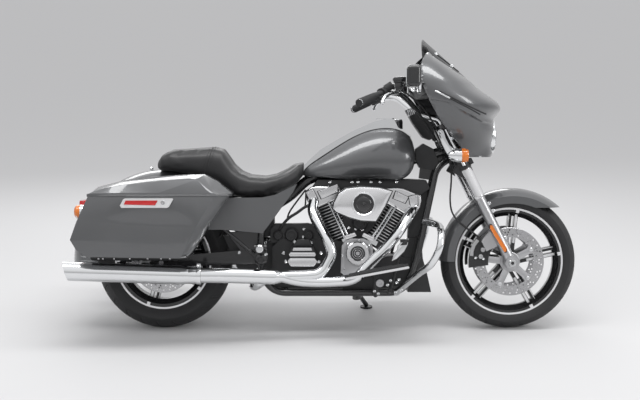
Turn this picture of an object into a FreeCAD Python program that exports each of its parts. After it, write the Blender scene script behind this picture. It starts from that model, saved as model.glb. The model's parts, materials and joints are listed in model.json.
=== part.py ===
import FreeCAD, Part
import math
import os

import Sketcher

# Touring cruiser motorcycle, parked on its side stand.
# Bike frame: +X forward, +Y to the rider's left, +Z up, ground at zero, upright.
# Every piece is modelled upright and then leaned over by its Placement.

App = FreeCAD
Vector = App.Vector

# Driving sizes in millimetres and degrees, and counts of repeated forms

CHASSIS_SIZES = {
    "wheelbase": 1625,
    "rear_axle_x": -763,
    "frame_length": 1625,
    "trail": 173,
    "rake_angle": 26,
    "fork_angle": 26.7,
    "lean_angle": 8,
    "park_run": 6.5,
    "park_shift": -131.3,
    "cut_overrun": 10,
    "seat_gap": 0.3,
    "running_gap": 0.08,
    "hinge_gap": 1,
}

FRONT_WHEEL_SIZES = {
    "front_tyre_radius": 318,
    "front_tyre_width": 130,
    "front_shoulder_radius": 285,
    "front_rim_radius": 251,
    "front_seat_radius": 241,
    "front_rim_width": 108,
    "front_disc_radius": 160,
    "front_disc_y": 74,
}

REAR_WHEEL_SIZES = {
    "rear_tyre_radius": 320,
    "rear_tyre_width": 180,
    "rear_shoulder_radius": 272,
    "rear_rim_radius": 224,
    "rear_seat_radius": 211,
    "rear_rim_width": 146,
    "rear_disc_radius": 147,
    "rear_disc_y": 84,
    "pulley_radius": 115,
    "belt_y": 97,
    "belt_width": 24,
    "belt_thickness": 8,
    "drive_pulley_radius": 60,
}

WHEEL_SIZES = {
    "tyre_wall": 11,
    "flange_width": 8,
    "rim_wall": 9,
    "rim_drop": 20,
    "spoke_count": 5,
    "spoke_width": 17,
    "spoke_gap": 12,
    "spoke_depth": 44,
    "front_spoke_angle": 12,
    "rear_spoke_angle": 38.4,
    "hub_radius": 42,
    "axle_radius": 11,
    "disc_thickness": 5,
    "disc_band": 45,
    "disc_hub_radius": 46,
    "disc_arm_width": 30,
}

FORK_SIZES = {
    "fork_half_track": 125,
    "slider_radius": 25,
    "slider_length": 440,
    "fork_length": 722,
    "sleeve_wall": 6,
    "axle_clamp_radius": 31,
    "stem_radius": 16,
    "neck_radius": 32,
    "neck_start": 882,
    "neck_length": 156,
    "tree_thickness": 26,
    "tree_depth": 74,
    "front_axle_length": 306,
    "front_fender_radius": 343,
    "front_fender_half_width": 84,
    "front_fender_skirt": 70,
    "front_fender_shift": 14,
    "front_fender_front_angle": 42,
    "front_fender_rear_angle": 180,
    "fender_wall": 4,
    "caliper_depth": 62,
    "caliper_outer_radius": 196,
    "caliper_inner_radius": 104,
    "front_caliper_span_angle": 46,
    "front_caliper_angle": 98,
    "rear_caliper_span_angle": 32,
    "rear_caliper_angle": 26,
}

FAIRING_SIZES = {
    "fairing_setback": 444,
    "fairing_base_z": 808,
    "fairing_length": 402,
    "fairing_height": 474,
    "fairing_half_width": 390,
    "fairing_wall": 6,
    "dash_depth": 60,
    "screen_half_width": 215,
    "screen_plan_radius": 330,
    "screen_wall": 5,
    "screen_setback": 186,
    "screen_base_z": 1163,
    "screen_run": 225,
    "screen_rise": 199,
    "headlight_radius": 70,
    "headlight_z": 906,
    "headlight_setback": 67,
    "headlight_depth": 90,
    "mirror_width": 150,
    "mirror_height": 96,
    "mirror_depth": 60,
    "bar_radius": 12.7,
    "grip_radius": 17,
}

TANK_SIZES = {
    "tank_rear_x": -125,
    "tank_base_z": 703,
    "tank_length": 545,
    "tank_height": 247,
    "tank_half_width": 160,
    "tunnel_half_width": 40,
    "console_half_width": 52,
    "door_length": 84,
    "door_width": 74,
    "door_thickness": 5,
}

SEAT_SIZES = {
    "seat_nose": 19,
    "seat_base_z": 625,
    "seat_length": 680,
    "seat_height": 222,
    "seat_half_width": 184,
}

REAR_BODY_SIZES = {
    "rear_fender_radius": 430,
    "rear_fender_half_width": 118,
    "rear_fender_skirt": 130,
    "rear_fender_front_angle": 60,
    "rear_fender_rear_angle": 183,
    "side_cover_rear_x": -548,
    "side_cover_base_z": 458,
    "side_cover_length": 415,
    "side_cover_height": 228,
    "side_cover_y": 204,
    "side_cover_wall": 5,
    "bag_rear_x": -1123,
    "bag_base_z": 365,
    "bag_length": 690,
    "bag_height": 271,
    "bag_inner_y": 207,
    "bag_crease_y": 400,
    "bag_outer_y": 455,
    "bag_wall": 5,
    "lid_rear_x": -1048,
    "lid_length": 629,
    "lid_height": 96,
    "lid_gap": 0.4,
    "latch_length": 217,
    "latch_height": 38,
    "latch_depth": 9,
    "tail_lamp_z": 575,
    "tail_lamp_width": 130,
    "tail_lamp_height": 60,
    "signal_radius": 30,
    "signal_y": 178,
}

ENGINE_SIZES = {
    "crank_x": 148,
    "crank_z": 285,
    "crank_radius": 116,
    "case_half_width": 92,
    "gearbox_length": 400,
    "gearbox_base_z": 200,
    "gearbox_height": 225,
    "bank_angle": 27,
    "vee_tilt_angle": 4,
    "barrel_radius": 54,
    "fin_radius": 76,
    "fin_pitch": 10,
    "fin_thickness": 4,
    "fin_count": 16,
    "barrel_start": 105,
    "fins_start": 180,
    "rocker_half_width": 84,
    "cam_cover_depth": 70,
    "timer_radius": 56,
    "timer_x": 144,
    "timer_z": 364,
    "timer_depth": 20,
    "gearbox_cover_depth": 78,
    "primary_inner_y": 127,
    "primary_outer_y": 222,
    "primary_radius": 100,
    "air_cleaner_inner_y": 178,
    "air_cleaner_outer_y": 285,
    "insert_radius": 49,
    "insert_depth": 8,
    "pushrod_radius": 5.5,
}

EXHAUST_SIZES = {
    "header_radius": 24,
    "collector_radius": 34,
    "muffler_radius": 43,
    "muffler_y": 310,
    "muffler_z": 277,
    "muffler_rear_x": -1185,
    "muffler_length": 590,
    "muffler_rise_angle": 1.9,
    "muffler_slash_angle": 18,
    "muffler_bore_radius": 37,
    "muffler_bore_depth": 90,
}

FRAME_SIZES = {
    "backbone_radius": 24,
    "tube_radius": 16,
    "rail_y": 112,
    "rail_z": 176,
    "guard_radius": 16,
    "guard_y": 400,
    "pivot_x": -300,
    "pivot_z": 347,
    "arm_inner_y": 128,
    "arm_width": 24,
    "arm_height": 56,
    "shock_radius": 21,
    "shock_y": 179,
    "board_length": 292,
    "board_width": 112,
    "board_thickness": 12,
    "board_rear_x": 84,
    "board_rear_z": 262,
    "board_angle": 10.5,
    "board_inner_y": 256,
    "pin_radius": 6,
    "knuckle_radius": 11,
    "peg_x": -300,
    "peg_z": 397,
    "peg_hinge_y": 226,
    "peg_length": 92,
    "peg_radius": 15,
    "stand_pivot_x": 150,
    "stand_pivot_y": 186,
    "stand_pivot_z": 150,
    "stand_foot_x": 205,
    "stand_foot_y": 345,
    "stand_fold_drop_angle": 4.6,
    "stand_radius": 11,
    "stand_pad_radius": 30,
    "stand_pad_thickness": 8,
}

SIZE_GROUPS = (CHASSIS_SIZES, FRONT_WHEEL_SIZES, REAR_WHEEL_SIZES, WHEEL_SIZES, FORK_SIZES,
               FAIRING_SIZES, TANK_SIZES, SEAT_SIZES, REAR_BODY_SIZES, ENGINE_SIZES,
               EXHAUST_SIZES, FRAME_SIZES)

# Outlines as shares of the length and height of the piece, from its rear and base

BAG_OUTER_SHARES = ((0.114, 1), (0.086, 0.838), (0.041, 0.594), (0, 0.306), (0.035, 0.144),
                    (0.099, 0.022), (0.687, 0), (0.706, 0.03), (0.764, 0.336), (0.826, 0.627),
                    (0.909, 1))
BAG_CREASE_SHARES = ((0.114, 1), (0.086, 0.838), (0.041, 0.594), (0, 0.306), (0.035, 0.144),
                     (0.099, 0.022), (0.73, 0), (0.757, 0.06), (0.82, 0.3), (0.89, 0.6), (1, 1))
LID_RIM_SHARES = ((0, 0), (0, 0.12), (0.02, 0.16), (0.25, 0.18), (0.5, 0.18), (0.75, 0.18),
                  (0.85, 0.18), (0.88, 0.16), (0.9, 0.12), (0.9, 0))
LID_SHOULDER_SHARES = ((0, 0), (0, 0.12), (0.062, 0.312), (0.229, 0.542), (0.439, 0.677),
                       (0.717, 0.833), (0.76, 0.79), (0.86, 0.4), (0.93, 0.12), (0.93, 0))
LID_TOP_SHARES = ((0, 0), (0, 0.12), (0.056, 0.427), (0.229, 0.719), (0.42, 0.885),
                  (0.633, 0.979), (0.809, 1), (0.893, 0.698), (1, 0.12), (1, 0))
LID_INNER_SHARES = ((0, 0), (0, 0.12), (0.06, 0.36), (0.229, 0.6), (0.42, 0.75),
                    (0.633, 0.83), (0.809, 0.85), (0.893, 0.6), (1, 0.12), (1, 0))
SIDE_COVER_SHARES = ((0, 0.719), (0.275, 0.719), (0.614, 0.728), (0.759, 0.781), (0.889, 0.899),
                     (1, 1), (0.957, 0.838), (0.867, 0.618), (0.781, 0.399), (0.682, 0.158),
                     (0.614, 0), (0.571, 0.018), (0.373, 0.048), (0.164, 0.079), (0, 0.079))
CONSOLE_BASE_SHARES = ((0.96, 0.62), (0.743, 0.85), (0.45, 0.68), (0.178, 0.3), (0.03, 0.15))
CONSOLE_SHARES = ((0.03, 0.251), (0.178, 0.559), (0.352, 0.789), (0.45, 0.907), (0.547, 1.004),
                  (0.646, 1.101), (0.743, 1.142), (0.817, 1.142), (0.848, 0.99), (0.96, 0.84))

# Tank stations: place along the length, base, top and half width
TANK_STATION_SHARES = ((0, 0.1, 0.14, 0.16), (0.05, 0.061, 0.25, 0.38), (0.178, 0.032, 0.44, 0.6),
                       (0.349, 0.004, 0.68, 0.79), (0.539, 0, 0.899, 0.93), (0.732, 0, 0.99, 1),
                       (0.884, 0.012, 0.931, 0.96), (0.943, 0.089, 0.846, 0.86),
                       (0.982, 0.235, 0.7, 0.68), (1, 0.34, 0.5, 0.35))
TANK_RING_SHARES = ((0, 1), (0.34, 0.975), (0.66, 0.86), (0.9, 0.65), (1, 0.43), (0.96, 0.22),
                    (0.82, 0.06), (0.5, 0))

# Seat stations: place along the length, base, top and half width
SEAT_STATION_SHARES = ((0, 0.47, 0.7, 0.6), (0.03, 0.45, 0.86, 0.76), (0.094, 0.44, 0.941, 0.85),
                       (0.231, 0.44, 0.964, 0.88), (0.381, 0.3, 0.995, 0.9),
                       (0.45, 0.16, 0.955, 0.94), (0.516, 0.05, 0.64, 0.98),
                       (0.571, 0.015, 0.495, 1), (0.638, 0, 0.41, 1), (0.741, 0.03, 0.385, 0.96),
                       (0.816, 0.11, 0.43, 0.88), (0.897, 0.21, 0.55, 0.74),
                       (0.959, 0.32, 0.703, 0.6), (1, 0.48, 0.74, 0.45))
SEAT_RING_SHARES = ((0, 1), (0.5, 0.985), (0.82, 0.93), (0.96, 0.8), (1, 0.55), (0.97, 0.25),
                    (0.88, 0.06), (0.5, 0))

# Fairing stations: height, nose, rear edge and half width
FAIRING_STATION_SHARES = ((0, 0.9, 0.615, 0.4), (0.11, 0.91, 0.478, 0.5), (0.22, 0.935, 0.36, 0.66),
                          (0.34, 0.92, 0.24, 0.82), (0.4, 0.945, 0.19, 0.89),
                          (0.47, 1, 0.14, 0.95), (0.6, 0.86, 0.06, 1), (0.7, 0.7, 0.012, 1),
                          (0.79, 0.56, 0, 0.96), (0.88, 0.4, 0.012, 0.88), (0.95, 0.26, 0.05, 0.76),
                          (1, 0.16, 0.1, 0.62))
FAIRING_PLAN_SHARES = ((0.26, 0.985), (0.52, 0.9), (0.76, 0.7), (0.92, 0.42))

BEND_SHARE = 0.45


def load_sheet(document):
    """Write every named size into one spreadsheet."""
    sheet = document.addObject("Spreadsheet::Sheet", "Sizes")
    row = 0
    for group in SIZE_GROUPS:
        for alias, value in group.items():
            row += 1
            sheet.set(f"A{row}", alias)
            sheet.set(f"B{row}", str(value))
            sheet.setAlias(f"B{row}", alias)
    document.recompute()
    return sheet


doc = App.newDocument("TouringCruiser")
sizes = load_sheet(doc)
pieces = []


def val(alias):
    """Read one named size from the sheet."""
    return float(sizes.get(alias))


def work_out(expression):
    """Work out an expression over the sheet."""
    return float(sizes.evalExpression(expression))


# Places that follow from the driving sizes
FRONT_AXLE_X = val("rear_axle_x") + val("wheelbase")
FRONT_AXLE = Vector(FRONT_AXLE_X, 0, val("front_tyre_radius"))
REAR_AXLE = Vector(val("rear_axle_x"), 0, val("rear_tyre_radius"))
FAIRING_REAR_X = FRONT_AXLE_X - val("fairing_setback")
HEADLIGHT_FRONT_X = FRONT_AXLE_X - val("headlight_setback")
RAKE = math.radians(val("rake_angle"))
STEER_DIRECTION = Vector(-math.sin(RAKE), 0, math.cos(RAKE))
STEER_GROUND = Vector(FRONT_AXLE_X + val("trail"), 0, 0)
FORK = math.radians(val("fork_angle"))
LEG_DIRECTION = Vector(-math.sin(FORK), 0, math.cos(FORK))
LEAN = math.radians(val("lean_angle"))


def crown_radius():
    """Radius of the rear tyre's crown, from its width and shoulder."""
    half = val("rear_tyre_width") / 2
    rise = val("rear_tyre_radius") - val("rear_shoulder_radius")
    return (half * half + rise * rise) / (rise + rise)


LIFT = crown_radius() * (1 - math.cos(LEAN))
PARK = App.Placement(Vector(val("park_run"), val("park_shift"), LIFT),
                     App.Rotation(Vector(1, 0, 0), -val("lean_angle")))


def place(piece, label, seat=None):
    """Name a finished piece and lean it over with the rest of the bike."""
    piece.Label = label
    piece.Placement = PARK.multiply(seat) if seat else PARK
    pieces.append(piece)
    return piece


def feature(label, shape):
    """Keep a shape as a piece of the document."""
    piece = doc.addObject("Part::Feature", label)
    piece.Shape = Part.makeCompound(shape.Solids)
    return place(piece, label)


# PartDesign helpers

def new_body(label):
    body = doc.addObject("PartDesign::Body", label)
    body.Label = label
    return body


def origin_feature(body, role):
    return next(item for item in body.Origin.OriginFeatures if item.Role == role)


def new_sketch(body, name, role, offset="0"):
    """Sketch on an origin plane, moved along its normal by an expression."""
    sketch = body.newObject("Sketcher::SketchObject", name)
    sketch.AttachmentSupport = [(origin_feature(body, role), "")]
    sketch.MapMode = "FlatFace"
    if offset != "0":
        sketch.setExpression("AttachmentOffset.Base.z", offset)
    return sketch


def pin_point(sketch, curve, spot, x_text, y_text):
    """Tie a point of a curve to two expressions."""
    for kind, text in (("DistanceX", x_text), ("DistanceY", y_text)):
        index = sketch.addConstraint(
            Sketcher.Constraint(kind, -1, 1, curve, spot, work_out(text)))
        sketch.setExpression(f"Constraints[{index}]", text)


def draw_outline(sketch, corners):
    """Closed outline whose corners are pairs of expressions."""
    places = [Vector(work_out(x), work_out(y), 0) for x, y in corners]
    first = sketch.GeometryCount
    count = len(places)
    for index, start in enumerate(places):
        sketch.addGeometry(Part.LineSegment(start, places[(index + 1) % count]), False)
    for index in range(count):
        after = first + (index + 1) % count
        sketch.addConstraint(Sketcher.Constraint("Coincident", first + index, 2, after, 1))
    for index, (x_text, y_text) in enumerate(corners):
        pin_point(sketch, first + index, 1, x_text, y_text)


def draw_circle(sketch, radius, x_text="0", y_text="0"):
    """Circle whose radius and centre are expressions."""
    centre = Vector(work_out(x_text), work_out(y_text), 0)
    curve = sketch.addGeometry(Part.Circle(centre, Vector(0, 0, 1), work_out(radius)), False)
    index = sketch.addConstraint(Sketcher.Constraint("Radius", curve, work_out(radius)))
    sketch.setExpression(f"Constraints[{index}]", radius)
    pin_point(sketch, curve, 3, x_text, y_text)


def add_pad(body, sketch, name, length, side="One side"):
    pad = body.newObject("PartDesign::Pad", name)
    pad.Profile = sketch
    pad.SideType = side
    pad.setExpression("Length", length)
    return pad


def add_pocket(body, sketch, name, length, side="Symmetric"):
    pocket = body.newObject("PartDesign::Pocket", name)
    pocket.Profile = sketch
    pocket.SideType = side
    pocket.setExpression("Length", length)
    return pocket


def add_turn(body, sketch, name, axis="V_Axis"):
    turn = body.newObject("PartDesign::Revolution", name)
    turn.Profile = sketch
    turn.ReferenceAxis = (sketch, [axis])
    turn.Angle = 360
    return turn


def add_ring_pattern(body, original, name, count, role="Y_Axis"):
    pattern = body.newObject("PartDesign::PolarPattern", name)
    pattern.Originals = [original]
    pattern.Axis = (origin_feature(body, role), [""])
    pattern.Angle = 360
    pattern.setExpression("Occurrences", count)
    body.Tip = pattern
    return pattern


# Shape helpers

def outline_points(shares, rear, base, length, height, y):
    return [Vector(rear + length * a, y, base + height * b) for a, b in shares]


def closed_wire(points):
    return Part.makePolygon(list(points) + [points[0]])


def slab(points, reach):
    """Solid from a flat outline pushed along a vector."""
    return Part.Face(closed_wire(points)).extrude(reach)


def rounded_ring(points):
    """Smooth closed curve through points."""
    curve = Part.BSplineCurve()
    curve.interpolate(Points=points, PeriodicFlag=True)
    return Part.Wire([curve.toShape()])


def mirrored(shape):
    """Copy on the other side of the bike."""
    return shape.mirror(Vector(0, 0, 0), Vector(0, 1, 0))


def mirrored_point(point):
    return Vector(point.x, -point.y, point.z)


def rod(start, end, radius):
    """Cylinder between two points."""
    run = end - start
    return Part.makeCylinder(radius, run.Length, start, run)


def route_wire(points):
    """Straight runs joined by tangent arcs."""
    edges = []
    start = points[0]
    for before, corner, after in zip(points, points[1:], points[2:]):
        into = corner - before
        out = after - corner
        reach = BEND_SHARE * min(into.Length, out.Length)
        into.normalize()
        out.normalize()
        half = into.getAngle(out) / 2
        arc_start = corner - into * reach
        arc_end = corner + out * reach
        radius = reach / math.tan(half)
        inward = out - into
        inward.normalize()
        middle = corner + inward * (radius / math.cos(half) - radius)
        edges.append(Part.LineSegment(start, arc_start).toShape())
        edges.append(Part.Arc(arc_start, middle, arc_end).toShape())
        start = arc_end
    edges.append(Part.LineSegment(start, points[-1]).toShape())
    return Part.Wire(edges)


def bent_tube(points, radius):
    """Round tube along a route."""
    if len(points) == 2:
        return rod(points[0], points[1], radius)
    path = route_wire(points)
    profile = Part.Wire([Part.makeCircle(radius, points[0], points[1] - points[0])])
    return path.makePipeShell([profile], True, False)


def joined(shapes):
    """One solid from overlapping shapes."""
    whole = shapes[0].multiFuse(shapes[1:])
    merged = whole.removeSplitter()
    return merged if merged.isValid() else whole


def upright(label):
    """Shape of a finished piece without its lean."""
    doc.recompute()
    shape = doc.getObject(label).Shape.copy()
    shape.Placement = App.Placement()
    return shape


def along_leg(distance, side):
    """Point on a fork leg, measured from the axle."""
    foot = FRONT_AXLE + Vector(0, side * val("fork_half_track"), 0)
    return foot + LEG_DIRECTION * distance


def along_stem(distance):
    """Point on the steering axis, measured from the ground."""
    return STEER_GROUND + STEER_DIRECTION * distance


# Wheels

def make_tyre(label, end, centre):
    """Hollow tyre turned about its axle."""
    radius = val(f"{end}_tyre_radius")
    half = val(f"{end}_tyre_width") / 2
    shoulder = val(f"{end}_shoulder_radius")
    bead = val(f"{end}_seat_radius") + val("seat_gap")
    bead_half = val(f"{end}_rim_width") / 2 - val("flange_width") - val("seat_gap")
    flange = val(f"{end}_rim_radius") + val("seat_gap")
    wall = val("tyre_wall")

    def at(side, width, reach):
        return Vector(reach, side * width, 0)

    def arc(start, middle, stop):
        return Part.Arc(start, middle, stop).toShape()

    def line(start, stop):
        return Part.LineSegment(start, stop).toShape()

    bulge_reach = (flange + shoulder) / 2
    edges = []
    for side in (-1, 1):
        edges.append(line(at(side, bead_half, bead), at(side, bead_half, flange)))
        edges.append(arc(at(side, bead_half, flange), at(side, half - wall / 4, bulge_reach),
                         at(side, half, shoulder)))
        edges.append(line(at(side, bead_half, bead), at(side, bead_half - wall, bead)))
        edges.append(line(at(side, bead_half - wall, bead),
                          at(side, half - wall, shoulder - wall / 2)))
    edges.append(arc(at(-1, half, shoulder), at(1, 0, radius), at(1, half, shoulder)))
    edges.append(arc(at(-1, half - wall, shoulder - wall / 2), at(1, 0, radius - wall),
                     at(1, half - wall, shoulder - wall / 2)))
    section = Part.Face(Part.Wire(Part.__sortEdges__(edges)))
    tyre = section.revolve(Vector(0, 0, 0), Vector(0, 1, 0), 360)
    tyre.translate(centre)
    return feature(label, tyre)


def make_rim(label, end, centre, reach):
    """Cast wheel: rim, twin spokes and hub in one piece."""
    body = new_body(label)
    radius = f"Sizes.{end}_rim_radius"
    bead = f"Sizes.{end}_seat_radius"
    half = f"Sizes.{end}_rim_width / 2"
    drop = f"({bead} - Sizes.rim_drop)"
    profile = new_sketch(body, f"{label}_profile", "XY_Plane")
    draw_outline(profile, (
        (radius, f"-{half}"), (radius, f"-{half} + Sizes.flange_width"),
        (bead, f"-{half} + Sizes.flange_width"), (bead, f"-{half} + Sizes.flange_width * 3"),
        (drop, f"-{half} + Sizes.flange_width * 4"), (drop, f"{half} - Sizes.flange_width * 4"),
        (bead, f"{half} - Sizes.flange_width * 3"), (bead, f"{half} - Sizes.flange_width"),
        (radius, f"{half} - Sizes.flange_width"), (radius, half),
        (f"{bead} - Sizes.rim_wall", half), (f"{bead} - Sizes.rim_wall", f"{half} - Sizes.rim_drop"),
        (f"{drop} - Sizes.rim_wall", f"{half} - Sizes.rim_drop * 2"),
        (f"{drop} - Sizes.rim_wall", f"-{half} + Sizes.rim_drop * 2"),
        (f"{bead} - Sizes.rim_wall", f"-{half} + Sizes.rim_drop"),
        (f"{bead} - Sizes.rim_wall", f"-{half}")))
    add_turn(body, profile, f"{label}_turn")
    hub = new_sketch(body, f"{label}_hub_circle", "XZ_Plane")
    draw_circle(hub, "Sizes.hub_radius")
    add_pad(body, hub, f"{label}_hub", reach, "Symmetric")
    spokes = new_sketch(body, f"{label}_spoke_outline", "XZ_Plane")
    outer = f"{drop} - Sizes.rim_wall / 2"
    for side in ("", "-"):
        near = f"{side}Sizes.spoke_gap / 2"
        far = f"{side}(Sizes.spoke_gap / 2 + Sizes.spoke_width)"
        draw_outline(spokes, (("Sizes.hub_radius / 2", near), (outer, near), (outer, far),
                              ("Sizes.hub_radius / 2", far)))
    pair = add_pad(body, spokes, f"{label}_spokes", "Sizes.spoke_depth", "Symmetric")
    add_ring_pattern(body, pair, f"{label}_spoke_ring", "Sizes.spoke_count")
    bore = new_sketch(body, f"{label}_bore_circle", "XZ_Plane")
    draw_circle(bore, "Sizes.axle_radius + Sizes.running_gap")
    add_pocket(body, bore, f"{label}_bore", f"{reach} + Sizes.cut_overrun")
    turn = App.Rotation(Vector(0, 1, 0), -val(f"{end}_spoke_angle"))
    return place(body, label, App.Placement(centre, turn))


def make_disc(label, end, centre, sides):
    """Brake discs: a band carried by arms from an inner ring."""
    radius = val(f"{end}_disc_radius")
    thickness = val("disc_thickness")
    hub = val("disc_hub_radius")
    width = val("disc_arm_width")
    count = int(val("spoke_count"))
    inner = radius - val("disc_band")
    along = Vector(0, 1, 0)
    parts = []
    for side in sides:
        start = centre + Vector(0, side * val(f"{end}_disc_y") - thickness / 2, 0)
        band = Part.makeCylinder(radius, thickness, start, along)
        band = band.cut(Part.makeCylinder(inner, thickness, start, along))
        ring = Part.makeCylinder(hub + width / 2, thickness, start, along)
        arms = []
        for index in range(count):
            arm = Part.makeBox(inner + thickness, thickness, width,
                               start - Vector(0, 0, width / 2))
            turn = 360 / count * index + val(f"{end}_spoke_angle")
            arm.rotate(start, along, -turn)
            arms.append(arm)
        disc = joined([band, ring] + arms)
        parts.append(disc.cut(Part.makeCylinder(val("hub_radius") + val("seat_gap"), thickness,
                                                start, along)))
    return feature(label, Part.makeCompound(parts))


def make_pulley():
    """Belt pulley on the left of the rear hub."""
    hub_face = val("rear_disc_y") + val("seat_gap")
    start = REAR_AXLE + Vector(0, hub_face, 0)
    belt_start = REAR_AXLE + Vector(0, val("belt_y"), 0)
    along = Vector(0, 1, 0)
    boss = Part.makeCylinder(val("hub_radius"), val("belt_y") - hub_face, start, along)
    wheel = Part.makeCylinder(val("pulley_radius"), val("belt_width"), belt_start, along)
    bore_radius = val("axle_radius") + val("running_gap")
    bore = Part.makeCylinder(bore_radius, val("belt_y"), start, along)
    return feature("rear_pulley", boss.fuse(wheel).cut(bore))


def make_axle(label, centre, length):
    """Plain axle bound to the sheet."""
    axle = doc.addObject("Part::Cylinder", label)
    axle.setExpression("Radius", "Sizes.axle_radius")
    axle.Height = length
    start = centre - Vector(0, length / 2, 0)
    return place(axle, label, App.Placement(start, App.Rotation(Vector(1, 0, 0), -90)))


def make_wheels():
    make_tyre("front_tyre", "front", FRONT_AXLE)
    make_rim("front_rim", "front", FRONT_AXLE, "(Sizes.front_disc_y + Sizes.disc_thickness) * 2")
    make_disc("front_discs", "front", FRONT_AXLE, (-1, 1))
    make_tyre("rear_tyre", "rear", REAR_AXLE)
    make_rim("rear_rim", "rear", REAR_AXLE, "Sizes.rear_disc_y * 2")
    make_disc("rear_disc", "rear", REAR_AXLE, (-1,))
    make_pulley()
    make_axle("front_axle", FRONT_AXLE, val("front_axle_length"))
    make_axle("rear_axle", REAR_AXLE, 2 * (val("arm_inner_y") + val("arm_width")))


# Fork and what turns with it

CALIPER_LUG_SHARES = ((0.6, 0), (1.15, 0), (0.95, 0.5), (0.62, 0.5))


def caliper_face():
    """Outer face of a front caliper, measured from the wheel's middle plane."""
    return val("front_disc_y") - 4 * val("disc_thickness") + val("caliper_depth") * 0.7


def caliper_lug(side):
    """Lug behind a slider that the caliper seats on."""
    radius = val("front_disc_radius")
    behind = Vector(-LEG_DIRECTION.z, 0, LEG_DIRECTION.x)
    inner = caliper_face() + val("seat_gap")
    corners = [along_leg(radius * a, side) + behind * radius * b for a, b in CALIPER_LUG_SHARES]
    corners = [Vector(p.x, side * inner, p.z) for p in corners]
    return slab(corners, Vector(0, side * (val("fork_half_track") - inner), 0))


def make_fork_legs():
    """Sliders with their axle clamps, and the tubes above them."""
    legs = []
    for side in (-1, 1):
        top = along_leg(val("fork_length"), side)
        leg = rod(along_leg(val("axle_clamp_radius") * 0.7, side), top, val("slider_radius"))
        across = Vector(0, 2 * val("slider_radius") * 1.15, 0)
        clamp = rod(along_leg(0, side) - across / 2, along_leg(0, side) + across / 2,
                    val("axle_clamp_radius"))
        bore = rod(along_leg(0, side) - across, along_leg(0, side) + across,
                   val("axle_radius") + val("running_gap"))
        legs.append(joined([leg, clamp, caliper_lug(side)]).cut(bore))
    return feature("fork_legs", Part.makeCompound(legs))


def tree_plate(start):
    """Yoke across both legs and the stem, square to the steering axis."""
    track = val("fork_half_track") * 2
    depth = val("tree_depth")
    plate = Part.makeBox(depth, track, val("tree_thickness"),
                         Vector(-depth * 0.62, -track / 2, 0))
    plate.Placement = App.Placement(along_stem(start),
                                    App.Rotation(Vector(0, 1, 0), -val("rake_angle")))
    return plate


def make_fork_tree():
    """Steering stem, two yokes and the fork sleeves."""
    neck_start = val("neck_start")
    neck_end = neck_start + val("neck_length")
    thickness = val("tree_thickness")
    gap = val("hinge_gap")
    lower = neck_start - gap - thickness
    upper = neck_end + gap
    parts = [rod(along_stem(lower), along_stem(upper + thickness), val("stem_radius"))]
    parts += [tree_plate(lower), tree_plate(upper)]
    sleeve_radius = val("slider_radius") + val("sleeve_wall")
    for side in (-1, 1):
        parts.append(rod(along_leg(val("slider_length"), side), along_leg(val("fork_length"), side),
                         sleeve_radius))
    tree = joined(parts)
    for side in (-1, 1):
        tree = tree.cut(rod(along_leg(0, side), along_leg(val("fork_length") * 2, side),
                            val("slider_radius") + val("seat_gap")))
    return feature("fork_tree", tree)


def fender_ring(centre, radius, half, skirt, wall, first, last):
    """Fender turned about its wheel between two angles, seen from the right."""
    def section(grow):
        rim = radius - grow
        side = half - grow
        foot = radius - skirt
        crown = rim - side * 0.42
        edges = [Part.LineSegment(Vector(foot, -side, 0), Vector(crown, -side, 0)).toShape(),
                 Part.Arc(Vector(crown, -side, 0), Vector(rim, 0, 0),
                          Vector(crown, side, 0)).toShape(),
                 Part.LineSegment(Vector(crown, side, 0), Vector(foot, side, 0)).toShape()]
        return edges, Vector(foot, -side, 0), Vector(foot, side, 0)

    outer, outer_start, outer_end = section(0)
    inner, inner_start, inner_end = section(wall)
    edges = outer + inner
    edges.append(Part.LineSegment(outer_start, inner_start).toShape())
    edges.append(Part.LineSegment(outer_end, inner_end).toShape())
    face = Part.Face(Part.Wire(Part.__sortEdges__(edges)))
    ring = face.revolve(Vector(0, 0, 0), Vector(0, 1, 0), -(last - first))
    ring.rotate(Vector(0, 0, 0), Vector(0, 1, 0), -first)
    ring.translate(centre)
    return ring


def make_front_fender():
    """Front fender with its front side edges cut level."""
    radius = val("front_fender_radius")
    centre = FRONT_AXLE + Vector(val("front_fender_shift"), 0, 0)
    ring = fender_ring(centre, radius, val("front_fender_half_width"), val("front_fender_skirt"),
                       val("fender_wall"), val("front_fender_front_angle"),
                       val("front_fender_rear_angle"))
    level = centre + Vector(0, -radius, 0)
    below = Part.makeBox(radius * 2, radius * 2, radius * 0.738, level)
    ring = ring.cut(below)
    brackets = []
    for side in (-1, 1):
        spot = along_leg(radius - val("front_fender_skirt") * 0.57, side)
        inner_y = val("front_fender_half_width") - val("fender_wall") / 2
        width = val("fork_half_track") - val("slider_radius") - val("seat_gap") - inner_y
        depth = val("slider_radius") * 2
        corner = Vector(spot.x - depth / 2, side * inner_y, spot.z - depth / 2)
        if side < 0:
            corner.y -= width
        brackets.append(Part.makeBox(depth, width, depth, corner))
    return feature("front_fender", joined([ring] + brackets))


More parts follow.
